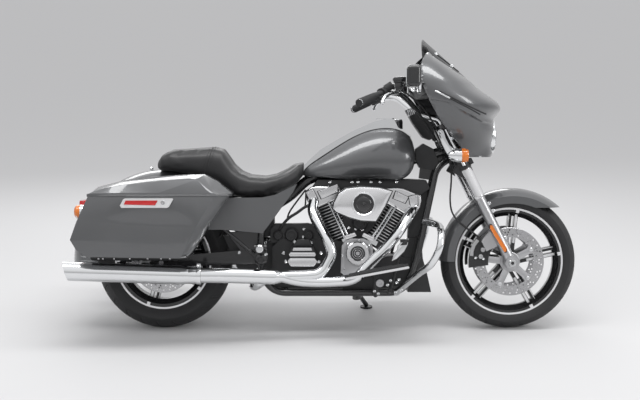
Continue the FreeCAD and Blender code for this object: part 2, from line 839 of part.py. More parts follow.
def make_calipers():
    """Front calipers astride the discs, behind the fork legs."""
    parts = []
    for side in (-1, 1):
        outer = val("caliper_outer_radius")
        inner = val("caliper_inner_radius")
        depth = val("caliper_depth")
        slot = val("disc_thickness") * 3
        disc_y = val("front_disc_y")
        start_y = caliper_face() - depth * 0.7 if side > 0 else -caliper_face()
        start = FRONT_AXLE + Vector(0, start_y, 0)
        block = Part.makeCylinder(outer, depth * 0.7, start, Vector(0, 1, 0),
                                  val("front_caliper_span_angle"))
        block = block.cut(Part.makeCylinder(inner, depth, start, Vector(0, 1, 0)))
        block.rotate(FRONT_AXLE, Vector(0, 1, 0), -val("front_caliper_angle"))
        slot_start = FRONT_AXLE + Vector(0, side * disc_y - slot / 2, 0)
        reach = val("front_disc_radius") + slot / 3
        block = block.cut(Part.makeCylinder(reach, slot, slot_start, Vector(0, 1, 0)))
        parts.append(block)
    return feature("front_calipers", Part.makeCompound(parts))


def fairing_lump(inset, stretch):
    """Solid filling the fairing, drawn in from its skin by the inset."""
    rings = []
    length = val("fairing_length")
    for height_share, nose_share, rear_share, width_share in FAIRING_STATION_SHARES:
        z = val("fairing_base_z") + val("fairing_height") * height_share
        if height_share == 0:
            z -= stretch
        if height_share == 1 and stretch:
            z -= inset
        nose = FAIRING_REAR_X + length * nose_share - inset
        rear = FAIRING_REAR_X + length * rear_share
        half = val("fairing_half_width") * width_share - inset
        rise = nose - rear
        right = [Vector(rear + rise * a, -half * b, z) for a, b in FAIRING_PLAN_SHARES]
        left = [Vector(p.x, -p.y, z) for p in reversed(right)]
        arch = [Vector(rear, -half, z)] + right + [Vector(nose, 0, z)] + left
        arch.append(Vector(rear, half, z))
        curve = Part.BSplineCurve()
        curve.interpolate(arch)
        back = [Vector(rear, half, z), Vector(rear - stretch, half, z),
                Vector(rear - stretch, -half, z), Vector(rear, -half, z)]
        if stretch == 0:
            back = [back[0], back[3]]
        closing = Part.makePolygon(back)
        rings.append(Part.Wire([curve.toShape()] + closing.Edges))
    return Part.makeLoft(rings, True, False)


def make_fairing():
    """Fork-mounted fairing skin, open at the rear, with the headlight's hole."""
    outer = fairing_lump(0, 0)
    inner = fairing_lump(val("fairing_wall"), val("cut_overrun"))
    skin = outer.cut(inner)
    hole_start = Vector(HEADLIGHT_FRONT_X - val("headlight_depth"), 0, val("headlight_z"))
    hole = Part.makeCylinder(val("headlight_radius") + val("seat_gap"),
                             val("headlight_depth") * 2, hole_start, Vector(1, 0, 0))
    return feature("fairing", skin.cut(hole))


def make_dash():
    """Inner fairing across the back of the skin, above the handlebar."""
    gap = val("fairing_wall") + val("seat_gap")
    lump = fairing_lump(gap, 0)
    depth = val("dash_depth")
    rear = [Vector(FAIRING_REAR_X + val("fairing_length") * r, 0,
                   val("fairing_base_z") + val("fairing_height") * z)
            for z, nose, r, w in FAIRING_STATION_SHARES if 0.55 < z < 0.92]
    front = [point + Vector(depth, 0, 0) for point in reversed(rear)]
    reach = val("fairing_half_width") * 2
    band = slab([p - Vector(0, reach / 2, 0) for p in rear + front], Vector(0, reach, 0))
    return feature("dash", lump.common(band))


SCREEN_TRIM_SHARES = ((1.01, 1.1), (0.74, -0.2), (2, -0.2), (2, 1.1))


def make_screen():
    """Short smoked screen, curved in plan and raked back."""
    radius = val("screen_plan_radius")
    wall = val("screen_wall")
    half = val("screen_half_width")
    base = Vector(FRONT_AXLE_X - val("screen_setback"), 0, val("screen_base_z"))
    centre = base - Vector(radius, 0, 0)
    disc = Part.makeCylinder(radius, wall, centre, Vector(0, 0, 1))
    spread = math.asin(half / radius)

    def arc(reach):
        def at(turn):
            return centre + Vector(reach * math.cos(turn), reach * math.sin(turn), 0)
        return at(-spread), at(0), at(spread)

    outer = arc(radius)
    inner = arc(radius - wall)
    edges = [Part.Arc(*outer).toShape(), Part.Arc(*inner).toShape(),
             Part.LineSegment(outer[0], inner[0]).toShape(),
             Part.LineSegment(outer[2], inner[2]).toShape()]
    face = Part.Face(Part.Wire(Part.__sortEdges__(edges)))
    run = val("screen_run")
    rise = val("screen_rise")
    sheet = face.extrude(Vector(-run, 0, rise))
    trim = [base + Vector(-run * a, -half, rise * b) for a, b in SCREEN_TRIM_SHARES]
    sheet = sheet.cut(slab(trim, Vector(0, half * 2, 0)))
    lump = fairing_lump(-val("seat_gap") * 2, 0)
    raised = lump.copy()
    raised.translate(Vector(0, 0, val("seat_gap")))
    sheet = sheet.cut(lump).cut(raised)
    solids = sorted(sheet.Solids, key=lambda solid: solid.Volume)
    return feature("windscreen", solids[-1])


def make_headlight():
    """Headlight shell with a domed lens."""
    radius = val("headlight_radius")
    depth = val("headlight_depth")
    front = Vector(HEADLIGHT_FRONT_X, 0, val("headlight_z"))
    shell = Part.makeCylinder(radius, depth, front - Vector(depth, 0, 0), Vector(1, 0, 0))
    dome_radius = radius * 2
    dome = Part.makeSphere(dome_radius, front - Vector(dome_radius, 0, 0))
    return feature("headlight", shell.common(dome))


def make_front_lamps():
    """Chrome lamp bar down each sleeve with a turn lamp on its stalk."""
    parts = []
    sleeve = val("slider_radius") + val("sleeve_wall") + val("seat_gap")
    radius = val("signal_radius")
    room = fairing_lump(val("fairing_wall") + val("seat_gap"), 0)
    for side in (-1, 1):
        offset = Vector(0, side * (sleeve + val("bar_radius") * 0.7), 0)
        top = along_leg(val("fork_length") * 0.96, side) + offset
        bottom = along_leg(val("fork_length") * 0.7, side) + offset
        middle = along_leg(val("fork_length") * 0.79, side) + offset
        bar = rod(bottom, top, val("bar_radius") * 0.7)
        lamp_centre = middle + Vector(radius * 0.17, side * radius * 2.8, -radius * 0.3)
        stalk = rod(middle, lamp_centre, val("bar_radius") * 0.6)
        housing = Part.makeCylinder(radius, radius * 1.8, lamp_centre - Vector(radius, 0, 0),
                                    Vector(1, 0, 0))
        stay_start = along_leg(val("fork_length") * 0.89, side) + offset
        reach = val("fairing_half_width") * 0.6
        stay = rod(stay_start, stay_start + Vector(reach * 0.25, side * reach, reach * 0.1),
                   val("bar_radius") * 0.7)
        seated = max(stay.common(room).Solids, key=lambda solid: solid.Volume)
        parts.append(joined([bar, stalk, housing, seated]))
    return feature("front_lamps", Part.makeCompound(parts))


HANDLEBAR_SHARES = ((-0.2605, 0.115, 0.622), (-0.2805, 0.3, 0.64), (-0.3145, 0.5, 0.672),
                    (-0.3455, 0.62, 0.678), (-0.3725, 0.7, 0.675), (-0.4405, 1.05, 0.645))


def bar_points(side):
    """Handlebar route: places behind the front axle, half width and height."""
    base = val("frame_length")
    half = val("guard_y")
    return [Vector(FRONT_AXLE_X + base * x, side * half * y, base * z)
            for x, y, z in HANDLEBAR_SHARES]


def make_handlebar():
    """Handlebar on two pull-back risers."""
    right = bar_points(-1)
    left = bar_points(1)
    bar = bent_tube(list(reversed(right)) + left, val("bar_radius"))
    parts = [bar]
    top = along_stem(val("neck_start") + val("neck_length") + val("tree_thickness")
                     + val("hinge_gap") + val("seat_gap"))
    for point in (right[0], left[0]):
        foot = Vector(top.x - val("tree_depth") / 4, point.y, top.z)
        foot.z -= (top.x - foot.x) * math.tan(RAKE)
        riser = bent_tube([foot, foot + STEER_DIRECTION * val("tree_thickness") * 1.6, point],
                          val("bar_radius") * 1.3)
        parts.append(riser)
    return feature("handlebar", joined(parts))


def make_hand_controls():
    """Grips with switch housings and levers at both ends of the bar."""
    parts = []
    for side in (-1, 1):
        points = bar_points(side)
        start, end = points[-2], points[-1]
        run = end - start
        run.normalize()
        radius = val("grip_radius")
        bore = bent_tube(points, val("bar_radius") + val("seat_gap"))
        grip = rod(start + run * radius, end + run * radius * 0.5, radius)
        housing = rod(start - run * radius * 1.2, start + run * radius, radius * 1.5)
        reservoir_start = start + Vector(radius * 0.6, 0, radius)
        reservoir = rod(reservoir_start, reservoir_start + Vector(radius * 1.8, 0, radius * 1.2),
                        radius * 1.1)
        lever_root = start + Vector(radius * 2.4, 0, 0)
        lever = bent_tube([start, lever_root, lever_root + run * radius * 6], radius * 0.4)
        solid = joined([grip, housing, reservoir, lever])
        parts.append(solid.cut(bore))
    return feature("hand_controls", Part.makeCompound(parts))


def make_mirrors():
    """Mirrors on short stems from the fairing's rear edge."""
    parts = []
    width = val("mirror_width")
    height = val("mirror_height")
    depth = val("mirror_depth")
    x = FAIRING_REAR_X - depth * 0.63
    z = val("fairing_base_z") + val("fairing_height") * 0.75
    for side in (-1, 1):
        inner_y = side * (val("fairing_half_width") * 0.9)
        centre = Vector(x, inner_y + side * width / 2, z)
        head = Part.makeBox(depth, width, height,
                            centre - Vector(depth / 2, width / 2, height / 2))
        head = head.makeFillet(depth * 0.3, head.Edges)
        stem_end = Vector(FAIRING_REAR_X - val("seat_gap"), inner_y, z)
        stem = rod(Vector(x, inner_y + side * depth / 2, z), stem_end, val("bar_radius") * 0.6)
        parts.append(joined([head, stem]).cut(upright("dash")))
    return feature("mirrors", Part.makeCompound(parts))


def make_fork_group():
    make_fork_legs()
    make_fork_tree()
    make_front_fender()
    make_calipers()
    make_fairing()
    make_dash()
    make_screen()
    make_headlight()
    make_front_lamps()
    make_handlebar()
    make_hand_controls()
    make_mirrors()


# Frame

def frame_point(x_share, y_share, z_share):
    """Place on the frame as shares of its length."""
    base = val("frame_length")
    return Vector(base * x_share, base * y_share, base * z_share)


BACKBONE_SHARES = ((0.277, 0, 0.494), (0.06, 0, 0.45), (-0.05, 0, 0.437), (-0.1, 0, 0.385),
                   (-0.14, 0, 0.36))
DOWN_TUBE_SHARES = ((0.322, 0.022, 0.474), (0.258, 0.062, 0.19))
GUSSET_SHARES = ((0.277, 0, 0.494), (0.27, 0, 0.435), (0.305, 0, 0.43), (0.322, 0, 0.474))
REAR_STRUT_SHARES = ((-0.2, 0.1055, 0.216), (-0.367, 0.103, 0.363))
SIDE_PLATE_SHARES = ((-0.283, 0.286), (-0.185, 0.286), (-0.19, 0.236), (-0.243, 0.234))
REAR_UPRIGHT_SHARES = ((-0.185, 0.1055, 0.3), (-0.155, 0.06, 0.37), (-0.12, 0.01, 0.38))
SEAT_RAIL_SHARES = ((-0.155, 0.06, 0.37), (-0.24, 0.087, 0.37), (-0.36, 0.102, 0.362),
                    (-0.56, 0.102, 0.378))


CROSS_TUBE_SHARES = (0.14, -0.12)
SEAT_CROSS_SHARES = (-0.2, 0.0708, 0.37)
TAIL_LUG_SHARES = ((-0.38, 0.102, 0.3636), (-0.53, 0.102, 0.3756))


def tail_lugs():
    """Lugs from the tail rails in to the fender and out to the bags and side covers."""
    radius = val("tube_radius") / 2
    gap = val("seat_gap")
    lugs = []
    for side in (-1, 1):
        for x_share, y_share, z_share in TAIL_LUG_SHARES:
            rail = frame_point(x_share, y_share * side, z_share)
            fender = Vector(rail.x, side * (val("rear_fender_half_width") + gap), rail.z)
            bag = Vector(rail.x, side * (val("bag_inner_y") - gap), rail.z)
            lugs.append(rod(fender, bag, radius))
        rail = frame_point(SEAT_RAIL_SHARES[1][0], SEAT_RAIL_SHARES[1][1] * side,
                           SEAT_RAIL_SHARES[1][2])
        cover = Vector(rail.x, side * (val("side_cover_y") - val("side_cover_wall") - gap), rail.z)
        lugs.append(rod(rail, cover, radius))
    return lugs


def backbone_route():
    """Route of the backbone from the steering neck to its rear end."""
    return ([along_stem(val("neck_start") + val("neck_length") * 0.45)]
            + [frame_point(*p) for p in BACKBONE_SHARES])


def side_plate(side):
    """Plate between the rear upright and the rear strut."""
    thickness = val("fender_wall")
    y = side * val("frame_length") * REAR_STRUT_SHARES[0][1]
    points = outline_points(SIDE_PLATE_SHARES, 0, 0, val("frame_length"), val("frame_length"),
                            y - thickness / 2)
    return slab(points, Vector(0, thickness, 0))


def make_frame():
    """Steering neck, backbone, down tubes, lower rails, uprights and tail rails."""
    neck_start = along_stem(val("neck_start"))
    neck_end = along_stem(val("neck_start") + val("neck_length"))
    tube = val("tube_radius")
    rail_y = val("rail_y")
    rail_z = val("rail_z")
    stem_foot = along_stem(val("neck_start") + val("neck_length") * 0.2)
    gusset = [along_stem(val("neck_start") + val("neck_length") * 0.45)]
    gusset += [frame_point(*p) for p in GUSSET_SHARES] + [stem_foot]
    gusset = [p - Vector(0, tube / 2, 0) for p in gusset]
    parts = [rod(neck_start, neck_end, val("neck_radius")),
             bent_tube(backbone_route(), val("backbone_radius")), slab(gusset, Vector(0, tube, 0))]
    for side in (-1, 1):
        def at(share):
            return frame_point(share[0], share[1] * side, share[2])
        down = [stem_foot + Vector(0, side * tube * 1.2, 0)] + [at(p) for p in DOWN_TUBE_SHARES]
        corner = Vector(down[-1].x - rail_z / 3, side * rail_y, rail_z)
        rear_corner = Vector(val("pivot_x") + rail_z / 3, side * rail_y, rail_z)
        upright = [at(p) for p in REAR_UPRIGHT_SHARES]
        lower = Vector(upright[0].x, upright[0].y, rail_z * 1.5)
        parts.append(bent_tube(down + [corner, rear_corner, lower] + upright, tube))
        parts.append(bent_tube([at(p) for p in SEAT_RAIL_SHARES], tube * 0.8))
        parts.append(rod(at(REAR_STRUT_SHARES[0]), at(REAR_STRUT_SHARES[1]), tube * 0.56))
        parts.append(side_plate(side))
        boss = Vector(val("pivot_x"), 0, val("pivot_z"))
        arm_outer = val("arm_inner_y") + val("arm_width") + val("seat_gap")
        parts.append(rod(boss + Vector(0, side * arm_outer, 0),
                         boss + Vector(0, side * (arm_outer + tube * 2.4), 0), tube * 2))
    for x_share in CROSS_TUBE_SHARES:
        x = val("frame_length") * x_share
        parts.append(rod(Vector(x, -rail_y, rail_z), Vector(x, rail_y, rail_z), tube * 0.8))
    parts.append(rod(frame_point(*SEAT_CROSS_SHARES), mirrored_point(frame_point(*SEAT_CROSS_SHARES)),
                     tube * 0.8))
    parts += tail_lugs()
    parts.append(stand_boss())
    parts += [peg_boss(side) for side in (-1, 1)]
    whole = joined(parts)
    bore = rod(along_stem(val("neck_start") / 2), along_stem(val("neck_start") * 2),
               val("stem_radius") + val("running_gap"))
    return feature("main_frame", whole.cut(bore))


def make_swingarm():
    """Swingarm: two arms, a pivot tube and a brace ahead of the tyre."""
    inner = val("arm_inner_y")
    width = val("arm_width")
    height = val("arm_height")
    pivot = Vector(val("pivot_x"), 0, val("pivot_z"))
    parts = [rod(pivot - Vector(0, inner + width, 0), pivot + Vector(0, inner + width, 0),
                 val("tube_radius") * 1.3)]
    brace_x = pivot.x - height * 1.1
    parts.append(rod(Vector(brace_x, -inner, pivot.z), Vector(brace_x, inner, pivot.z), height * 0.36))
    for side in (-1, 1):
        start_y = inner if side > 0 else -inner - width
        outline = [Vector(pivot.x + height / 2, start_y, pivot.z + height / 2),
                   Vector(pivot.x - height, start_y, pivot.z + height * 0.6),
                   Vector(REAR_AXLE.x - height / 2, start_y, REAR_AXLE.z + height * 0.4),
                   Vector(REAR_AXLE.x - height, start_y, REAR_AXLE.z),
                   Vector(REAR_AXLE.x - height / 2, start_y, REAR_AXLE.z - height * 0.4),
                   Vector(pivot.x - height, start_y, pivot.z - height * 0.6),
                   Vector(pivot.x + height / 2, start_y, pivot.z - height / 2)]
        parts.append(slab(outline, Vector(0, width, 0)))
    arm = joined(parts)
    hole = rod(REAR_AXLE - Vector(0, inner * 2, 0), REAR_AXLE + Vector(0, inner * 2, 0),
               val("axle_radius") + val("running_gap"))
    return feature("swingarm", arm.cut(hole))


def make_shocks():
    """Rear shock absorbers outboard of the arms."""
    parts = []
    y = val("shock_y")
    radius = val("shock_radius")
    for side in (-1, 1):
        low = Vector(REAR_AXLE.x + radius * 3.4, side * y, REAR_AXLE.z + radius)
        high = Vector(REAR_AXLE.x + radius * 8, side * y, REAR_AXLE.z + radius * 9.6)
        along = high - low
        body = rod(low + along * 0.1, low + along * 0.9, radius)
        shaft = rod(low, high, radius * 0.45)
        arm_outer = val("arm_inner_y") + val("arm_width") + val("seat_gap")
        stud = rod(Vector(low.x, side * arm_outer, low.z), Vector(low.x, side * (y + radius), low.z),
                   radius * 0.6)
        parts.append(joined([body, shaft, stud]))
    return feature("shock_absorbers", Part.makeCompound(parts))


def make_belt():
    """Drive belt as one fixed loop round both pulleys."""
    drive = Vector(val("pivot_x") + val("arm_height") * 1.9, 0, val("pivot_z"))
    gap = val("seat_gap")

    def loop(extra, start_y, width):
        big = val("pulley_radius") + gap + extra
        small = val("drive_pulley_radius") + gap + extra
        run = drive - REAR_AXLE
        tilt = math.asin((big - small) / run.Length)
        base = math.atan2(run.z, run.x)
        tangents = []
        for side in (1, -1):
            turn = base + side * (math.pi / 2 - tilt)
            tangents.append(Vector(math.cos(turn), 0, math.sin(turn)))
        corners = [REAR_AXLE + tangents[0] * big, drive + tangents[0] * small,
                   drive + tangents[1] * small, REAR_AXLE + tangents[1] * big]
        middle = slab([c + Vector(0, start_y, 0) for c in corners], Vector(0, width, 0))
        ends = [Part.makeCylinder(r, width, c + Vector(0, start_y, 0), Vector(0, 1, 0))
                for r, c in ((big, REAR_AXLE), (small, drive))]
        return joined([middle] + ends)

    overrun = val("cut_overrun")
    outer = loop(val("belt_thickness"), val("belt_y"), val("belt_width"))
    inner = loop(0, val("belt_y") - overrun, val("belt_width") + 2 * overrun)
    return feature("drive_belt", outer.cut(inner))


GUARD_SHARES = ((0.284, 0.22, 0.312), (0.32, 0.5, 0.306), (0.315, 0.92, 0.29), (0.311, 1, 0.255),
                (0.29, 0.93, 0.205), (0.25, 0.62, 0.165), (0.2, 0.28, 0.108))


def make_guard():
    """Engine guard: one bent tube on each side, from the down tube to the lower rail."""
    frame = upright("main_frame")
    parts = []
    for side in (-1, 1):
        points = [Vector(val("frame_length") * x, side * val("guard_y") * y,
                         val("frame_length") * z) for x, y, z in GUARD_SHARES]
        tube = bent_tube(points, val("guard_radius")).cut(frame)
        parts.append(max(tube.Solids, key=lambda solid: solid.Volume))
    return feature("engine_guard", Part.makeCompound(parts))


# Stand, boards and pegs

STAND_PIVOT = Vector(val("stand_pivot_x"), val("stand_pivot_y"), val("stand_pivot_z"))
GROUND_NORMAL = Vector(0, -math.sin(LEAN), math.cos(LEAN))


def rail_clearance(side):
    """Straight run of a lower rail, grown for pieces that seat on it."""
    start = Vector(val("pivot_x"), side * val("rail_y"), val("rail_z"))
    end = Vector(-val("pivot_x") * 1.3, start.y, start.z)
    return rod(start, end, val("tube_radius") + val("seat_gap"))


def stand_foot():
    """Point under the stand's pad, on the ground of the leaning bike."""
    y = val("stand_foot_y")
    return Vector(val("stand_foot_x"), y, (y * math.sin(LEAN) - LIFT) / math.cos(LEAN))


def stand_axis():
    """Hinge axis square to the stand when down and when folded back along the rail."""
    down = stand_foot() - STAND_PIVOT
    drop = math.radians(val("stand_fold_drop_angle"))
    folded = Vector(-math.cos(drop), 0, -math.sin(drop))
    axis = down.cross(folded)
    axis.normalize()
    return axis


def stand_boss():
    """Bracket on the left lower rail with the stand's pin."""
    axis = stand_axis()
    radius = val("stand_radius") * 2
    length = val("stand_radius") * 3
    start = STAND_PIVOT - axis * (length / 2 + val("hinge_gap"))
    boss = rod(start, start - axis * radius, radius)
    pin = rod(STAND_PIVOT + axis * length / 2, start, val("pin_radius"))
    rail = Vector(STAND_PIVOT.x, val("rail_y"), val("rail_z"))
    arm = rod(rail, start - axis * radius * 0.65, radius / 2)
    return joined([boss, pin, arm])


def make_stand():
    """Side stand: leg, pivot eye and round pad flat on the ground."""
    axis = stand_axis()
    radius = val("stand_radius")
    length = radius * 3
    eye = rod(STAND_PIVOT - axis * length / 2, STAND_PIVOT + axis * length / 2, radius * 1.8)
    foot = stand_foot()
    pad = Part.makeCylinder(val("stand_pad_radius"), val("stand_pad_thickness"), foot, GROUND_NORMAL)
    ankle = foot + GROUND_NORMAL * val("stand_pad_thickness") / 2
    leg = rod(STAND_PIVOT, ankle + GROUND_NORMAL * radius, radius)
    stand = joined([eye, leg, pad])
    below = Part.makeBox(radius * 40, radius * 40, radius * 2,
                         foot - Vector(radius * 20, radius * 20, radius * 2))
    below.rotate(foot, Vector(1, 0, 0), val("lean_angle"))
    bore = rod(STAND_PIVOT - axis * length, STAND_PIVOT + axis * length,
               val("pin_radius") + val("running_gap"))
    return feature("side_stand", stand.cut(below).cut(bore))


def peg_boss(side):
    """Bracket from the rear upright with the peg's hinge pin."""
    y = side * val("peg_hinge_y")
    radius = val("knuckle_radius")
    centre = Vector(val("peg_x"), y, val("peg_z"))
    pin = rod(centre - Vector(radius * 2.6, 0, 0), centre + Vector(radius * 2.6, 0, 0),
              val("pin_radius"))
    parts = [pin]
    for end in (-1, 1):
        near = centre + Vector(end * (radius * 1.5 + val("hinge_gap")), 0, 0)
        far = near + Vector(end * radius, 0, 0)
        root = frame_point(0, side * REAR_UPRIGHT_SHARES[0][1], 0)
        root = Vector(centre.x + end * radius * 1.5, root.y, centre.z)
        parts.append(rod(near, far, radius))
        parts.append(rod((near + far) / 2, root, radius * 0.4))
    return joined(parts)


def make_peg(side, label):
    """Folding passenger peg with its hinge knuckle."""
    y = side * val("peg_hinge_y")
    radius = val("knuckle_radius")
    centre = Vector(val("peg_x"), y, val("peg_z"))
    knuckle = rod(centre - Vector(radius * 1.5, 0, 0), centre + Vector(radius * 1.5, 0, 0), radius)
    peg = rod(centre, centre + Vector(0, side * val("peg_length"), 0), val("peg_radius"))
    inner = rod(centre, centre + Vector(0, side * radius * 1.4, 0), val("peg_radius") * 2)
    peg = peg.cut(inner)
    neck = rod(centre, centre + Vector(0, side * radius * 2, 0), radius * 0.9)
    bore = rod(centre - Vector(radius * 3, 0, 0), centre + Vector(radius * 3, 0, 0),
               val("pin_radius") + val("running_gap"))
    return feature(label, joined([knuckle, peg, neck]).cut(bore))


def board_frame(side):
    """Place of the board's rear inner corner, with X along the board."""
    corner = Vector(val("board_rear_x"), side * val("board_inner_y"), val("board_rear_z"))
    return App.Placement(corner, App.Rotation(Vector(0, 1, 0), -val("board_angle")))


KNUCKLE_PLACE_SHARES = (0.3, 0.7)


def make_board(side, label):
    """Rider's floorboard, rounded outside, with two hinge knuckles."""
    length = val("board_length")
    width = val("board_width")
    thickness = val("board_thickness")
    radius = val("knuckle_radius")
    shares = ((0, 0), (1, 0), (1, 0.55), (0.93, 0.85), (0.8, 1), (0.2, 1), (0.07, 0.85), (0, 0.55))
    inset = radius + val("hinge_gap")
    outline = [Vector(length * a, side * (inset + (width - inset) * b), 0) for a, b in shares]
    parts = [slab(outline, Vector(0, 0, thickness))]
    for share in KNUCKLE_PLACE_SHARES:
        start = Vector(length * share - radius * 1.5, 0, thickness / 2)
        parts.append(rod(start, start + Vector(radius * 3, 0, 0), radius))
        parts.append(Part.makeBox(radius * 3, inset + radius, thickness * 0.6,
                                  start + Vector(0, 0 if side > 0 else -inset - radius,
                                                 -thickness * 0.3)))
    board = joined(parts)
    bore = rod(Vector(-length, 0, thickness / 2), Vector(length * 2, 0, thickness / 2),
               val("pin_radius") + val("running_gap"))
    board = board.cut(bore)
    board.Placement = board_frame(side)
    return feature(label, board)


def make_board_brackets():
    """Brackets from the lower rails that carry both boards on hinge pins."""
    parts = []
    length = val("board_length")
    thickness = val("board_thickness")
    radius = val("knuckle_radius")
    gap = val("hinge_gap")
    for side in (-1, 1):
        spot = board_frame(side)
        shares = KNUCKLE_PLACE_SHARES
        start = Vector(length * shares[0] - radius * 1.5, 0, thickness / 2)
        end = Vector(length * shares[1] + radius * 1.5, 0, thickness / 2)
        pieces_here = [rod(start, end, val("pin_radius"))]
        lug_start = Vector(length * shares[0] + radius * 1.5 + gap, 0, thickness / 2)
        lug_end = Vector(length * shares[1] - radius * 1.5 - gap, 0, thickness / 2)
        pieces_here.append(rod(lug_start, lug_end, radius))
        beam = joined(pieces_here)
        beam.Placement = spot
        middle = spot.multVec((lug_start + lug_end) / 2)
        rail = Vector(middle.x, side * val("rail_y"), val("rail_z"))
        low = Vector(middle.x, middle.y, rail.z)
        arm = bent_tube([middle, low, rail], radius)
        parts.append(joined([beam, arm.cut(rail_clearance(side))]))
    return feature("board_brackets", Part.makeCompound(parts))


PEDAL_SHARES = ((0.218, 0.259), (0.205, 0.225), (0.19, 0.16), (0.18, 0.1235))


def make_foot_controls():
    """Brake pedal on the right and shift lever on the left, each with a pivot stub."""
    parts = []
    base = val("frame_length")
    arm_y = val("board_inner_y") - val("knuckle_radius") * 2
    for side in (-1, 1):
        points = [Vector(base * x, side * arm_y, base * z) for x, z in PEDAL_SHARES]
        arm = bent_tube(points, val("pin_radius") * 1.25)
        pad_centre = points[0] + Vector(0, side * val("knuckle_radius") * 2.4, 0)
        lifted = Vector(0, 0, val("pin_radius") / 4)
        pad = rod(points[0] + lifted - Vector(0, side * val("pin_radius") * 1.2, 0),
                  pad_centre + lifted + Vector(0, side * val("knuckle_radius") * 1.8, 0),
                  val("pin_radius") * 1.3)
        plate = Part.makeBox(val("peg_radius") * 2.4, val("knuckle_radius") * 4, val("pin_radius") * 2,
                             pad_centre - Vector(val("peg_radius") * 1.2, val("knuckle_radius") * 2,
                                                 -val("pin_radius") * 0.5))
        stub_end = Vector(points[-1].x, side * val("rail_y"), val("rail_z"))
        stub = rod(points[-1] + Vector(0, side * val("pin_radius") * 2, 0), stub_end,
                   val("pin_radius") * 1.4).cut(upright("main_frame"))
        parts.append(joined([arm, pad, plate, stub]))
    return feature("foot_controls", Part.makeCompound(parts))


# Tank, seat and body panels

def station_ring(x, base, top, half, ring_shares):
    """Rounded cross-section at one station."""
    right = [Vector(x, -half * a, base + (top - base) * b) for a, b in ring_shares]
    left = [Vector(p.x, -p.y, p.z) for p in reversed(right[1:])]
    bottom = [Vector(x, 0, base)]
    return rounded_ring(right + bottom + left)


def tank_lump(grow):
    """Tank filled solid, grown outward by a clearance."""
    rings = []
    for along, low, high, wide in TANK_STATION_SHARES:
        x = val("tank_rear_x") + val("tank_length") * along
        base = val("tank_base_z") + val("tank_height") * low - grow
        top = val("tank_base_z") + val("tank_height") * high + grow
        rings.append(station_ring(x, base, top, val("tank_half_width") * wide + grow,
                                  TANK_RING_SHARES))
    return Part.makeLoft(rings, True, False)


def make_tank():
    """Fuel tank with the tunnel that sits over the backbone."""
    half = val("tunnel_half_width")
    backbone = backbone_route()[:4]
    drop = val("tank_height")
    rise = Vector(0, -half, val("backbone_radius") + val("fairing_wall"))
    top = [point + rise for point in backbone]
    top.append(Vector(val("tank_rear_x") - half, top[-1].y, top[-1].z))
    bottom = [Vector(p.x, p.y, p.z - drop) for p in (top[-1], top[0])]
    tunnel = slab(top + bottom, Vector(0, half * 2, 0))
    return feature("fuel_tank", tank_lump(0).cut(tunnel))


def door_box(extra):
    """Block of the fuel door on the console's flat top, grown by a clearance."""
    length = val("door_length") + 2 * extra
    width = val("door_width") + 2 * extra
    thickness = val("door_thickness")
    top_z = val("tank_base_z") + val("tank_height") * CONSOLE_SHARES[6][1]
    x = val("tank_rear_x") + val("tank_length") * CONSOLE_SHARES[7][0]
    return Part.makeBox(length, width, thickness + extra,
                        Vector(x - val("door_length") - extra, -width / 2,
                               top_z + val("seat_gap") - extra))


def make_console():
    """Console along the top of the tank, with hinge ears for the fuel door."""
    half = val("console_half_width")
    outline = outline_points(CONSOLE_SHARES + CONSOLE_BASE_SHARES, val("tank_rear_x"),
                             val("tank_base_z"), val("tank_length"), val("tank_height"), -half)
    block = slab(outline, Vector(0, 2 * half, 0))
    lump = block.cut(tank_lump(val("seat_gap")))
    solids = sorted(lump.Solids, key=lambda solid: solid.BoundBox.ZMax)
    return feature("tank_console", solids[-1])


def make_fuel_door():
    """Fuel door lying on the console, hinged at its rear edge."""
    door = door_box(0)
    vertical = [e for e in door.Edges if abs(e.tangentAt(e.FirstParameter).z) > 0.9]
    return feature("fuel_door", door.makeFillet(val("door_thickness") * 2, vertical))


def make_seat():
    """Two-level seat, cut clear of the tank and the rear fender."""
    rings = []
    for along, low, high, wide in SEAT_STATION_SHARES:
        x = val("tank_rear_x") + val("seat_nose") + val("seat_length") * (along - 1)
        rings.append(station_ring(x, val("seat_base_z") + val("seat_height") * low,
                                  val("seat_base_z") + val("seat_height") * high,
                                  val("seat_half_width") * wide, SEAT_RING_SHARES))
    seat = Part.makeLoft(rings, True, True)
    gap = val("hinge_gap")
    width = val("seat_half_width") * 4
    fender = Part.makeCylinder(val("rear_fender_radius") + val("seat_gap"), width,
                               REAR_AXLE - Vector(0, width / 2, 0), Vector(0, 1, 0))
    backbone = bent_tube(backbone_route(), val("backbone_radius") + val("seat_gap"))
    seat = seat.cut(tank_lump(gap)).cut(fender).cut(backbone)
    seat = seat.cut(upright("tank_console"))
    solids = sorted(seat.Solids, key=lambda solid: solid.Volume)
    return feature("seat", solids[-1])


def make_side_covers():
    """Side covers below the seat: a panel with a rim turned inward."""
    y = val("side_cover_y")
    wall = val("side_cover_wall")
    points = outline_points(SIDE_COVER_SHARES, val("side_cover_rear_x"), val("side_cover_base_z"),
                            val("side_cover_length"), val("side_cover_height"), -y)
    outer = slab(points, Vector(0, wall * 3, 0))
    inner_wire = closed_wire(points).makeOffset2D(-wall, 2)
    inner = Part.Face(inner_wire).extrude(Vector(0, wall * 8, 0))
    inner.translate(Vector(0, wall, 0))
    cover = outer.cut(inner)
    return feature("side_covers", Part.makeCompound([cover, mirrored(cover)]))


def make_rear_fender():
    """Rear fender round the tyre, running under the seat."""
    ring = fender_ring(REAR_AXLE, val("rear_fender_radius"), val("rear_fender_half_width"),
                       val("rear_fender_skirt"), val("fender_wall"),
                       val("rear_fender_front_angle"), val("rear_fender_rear_angle"))
    return feature("rear_fender", ring)


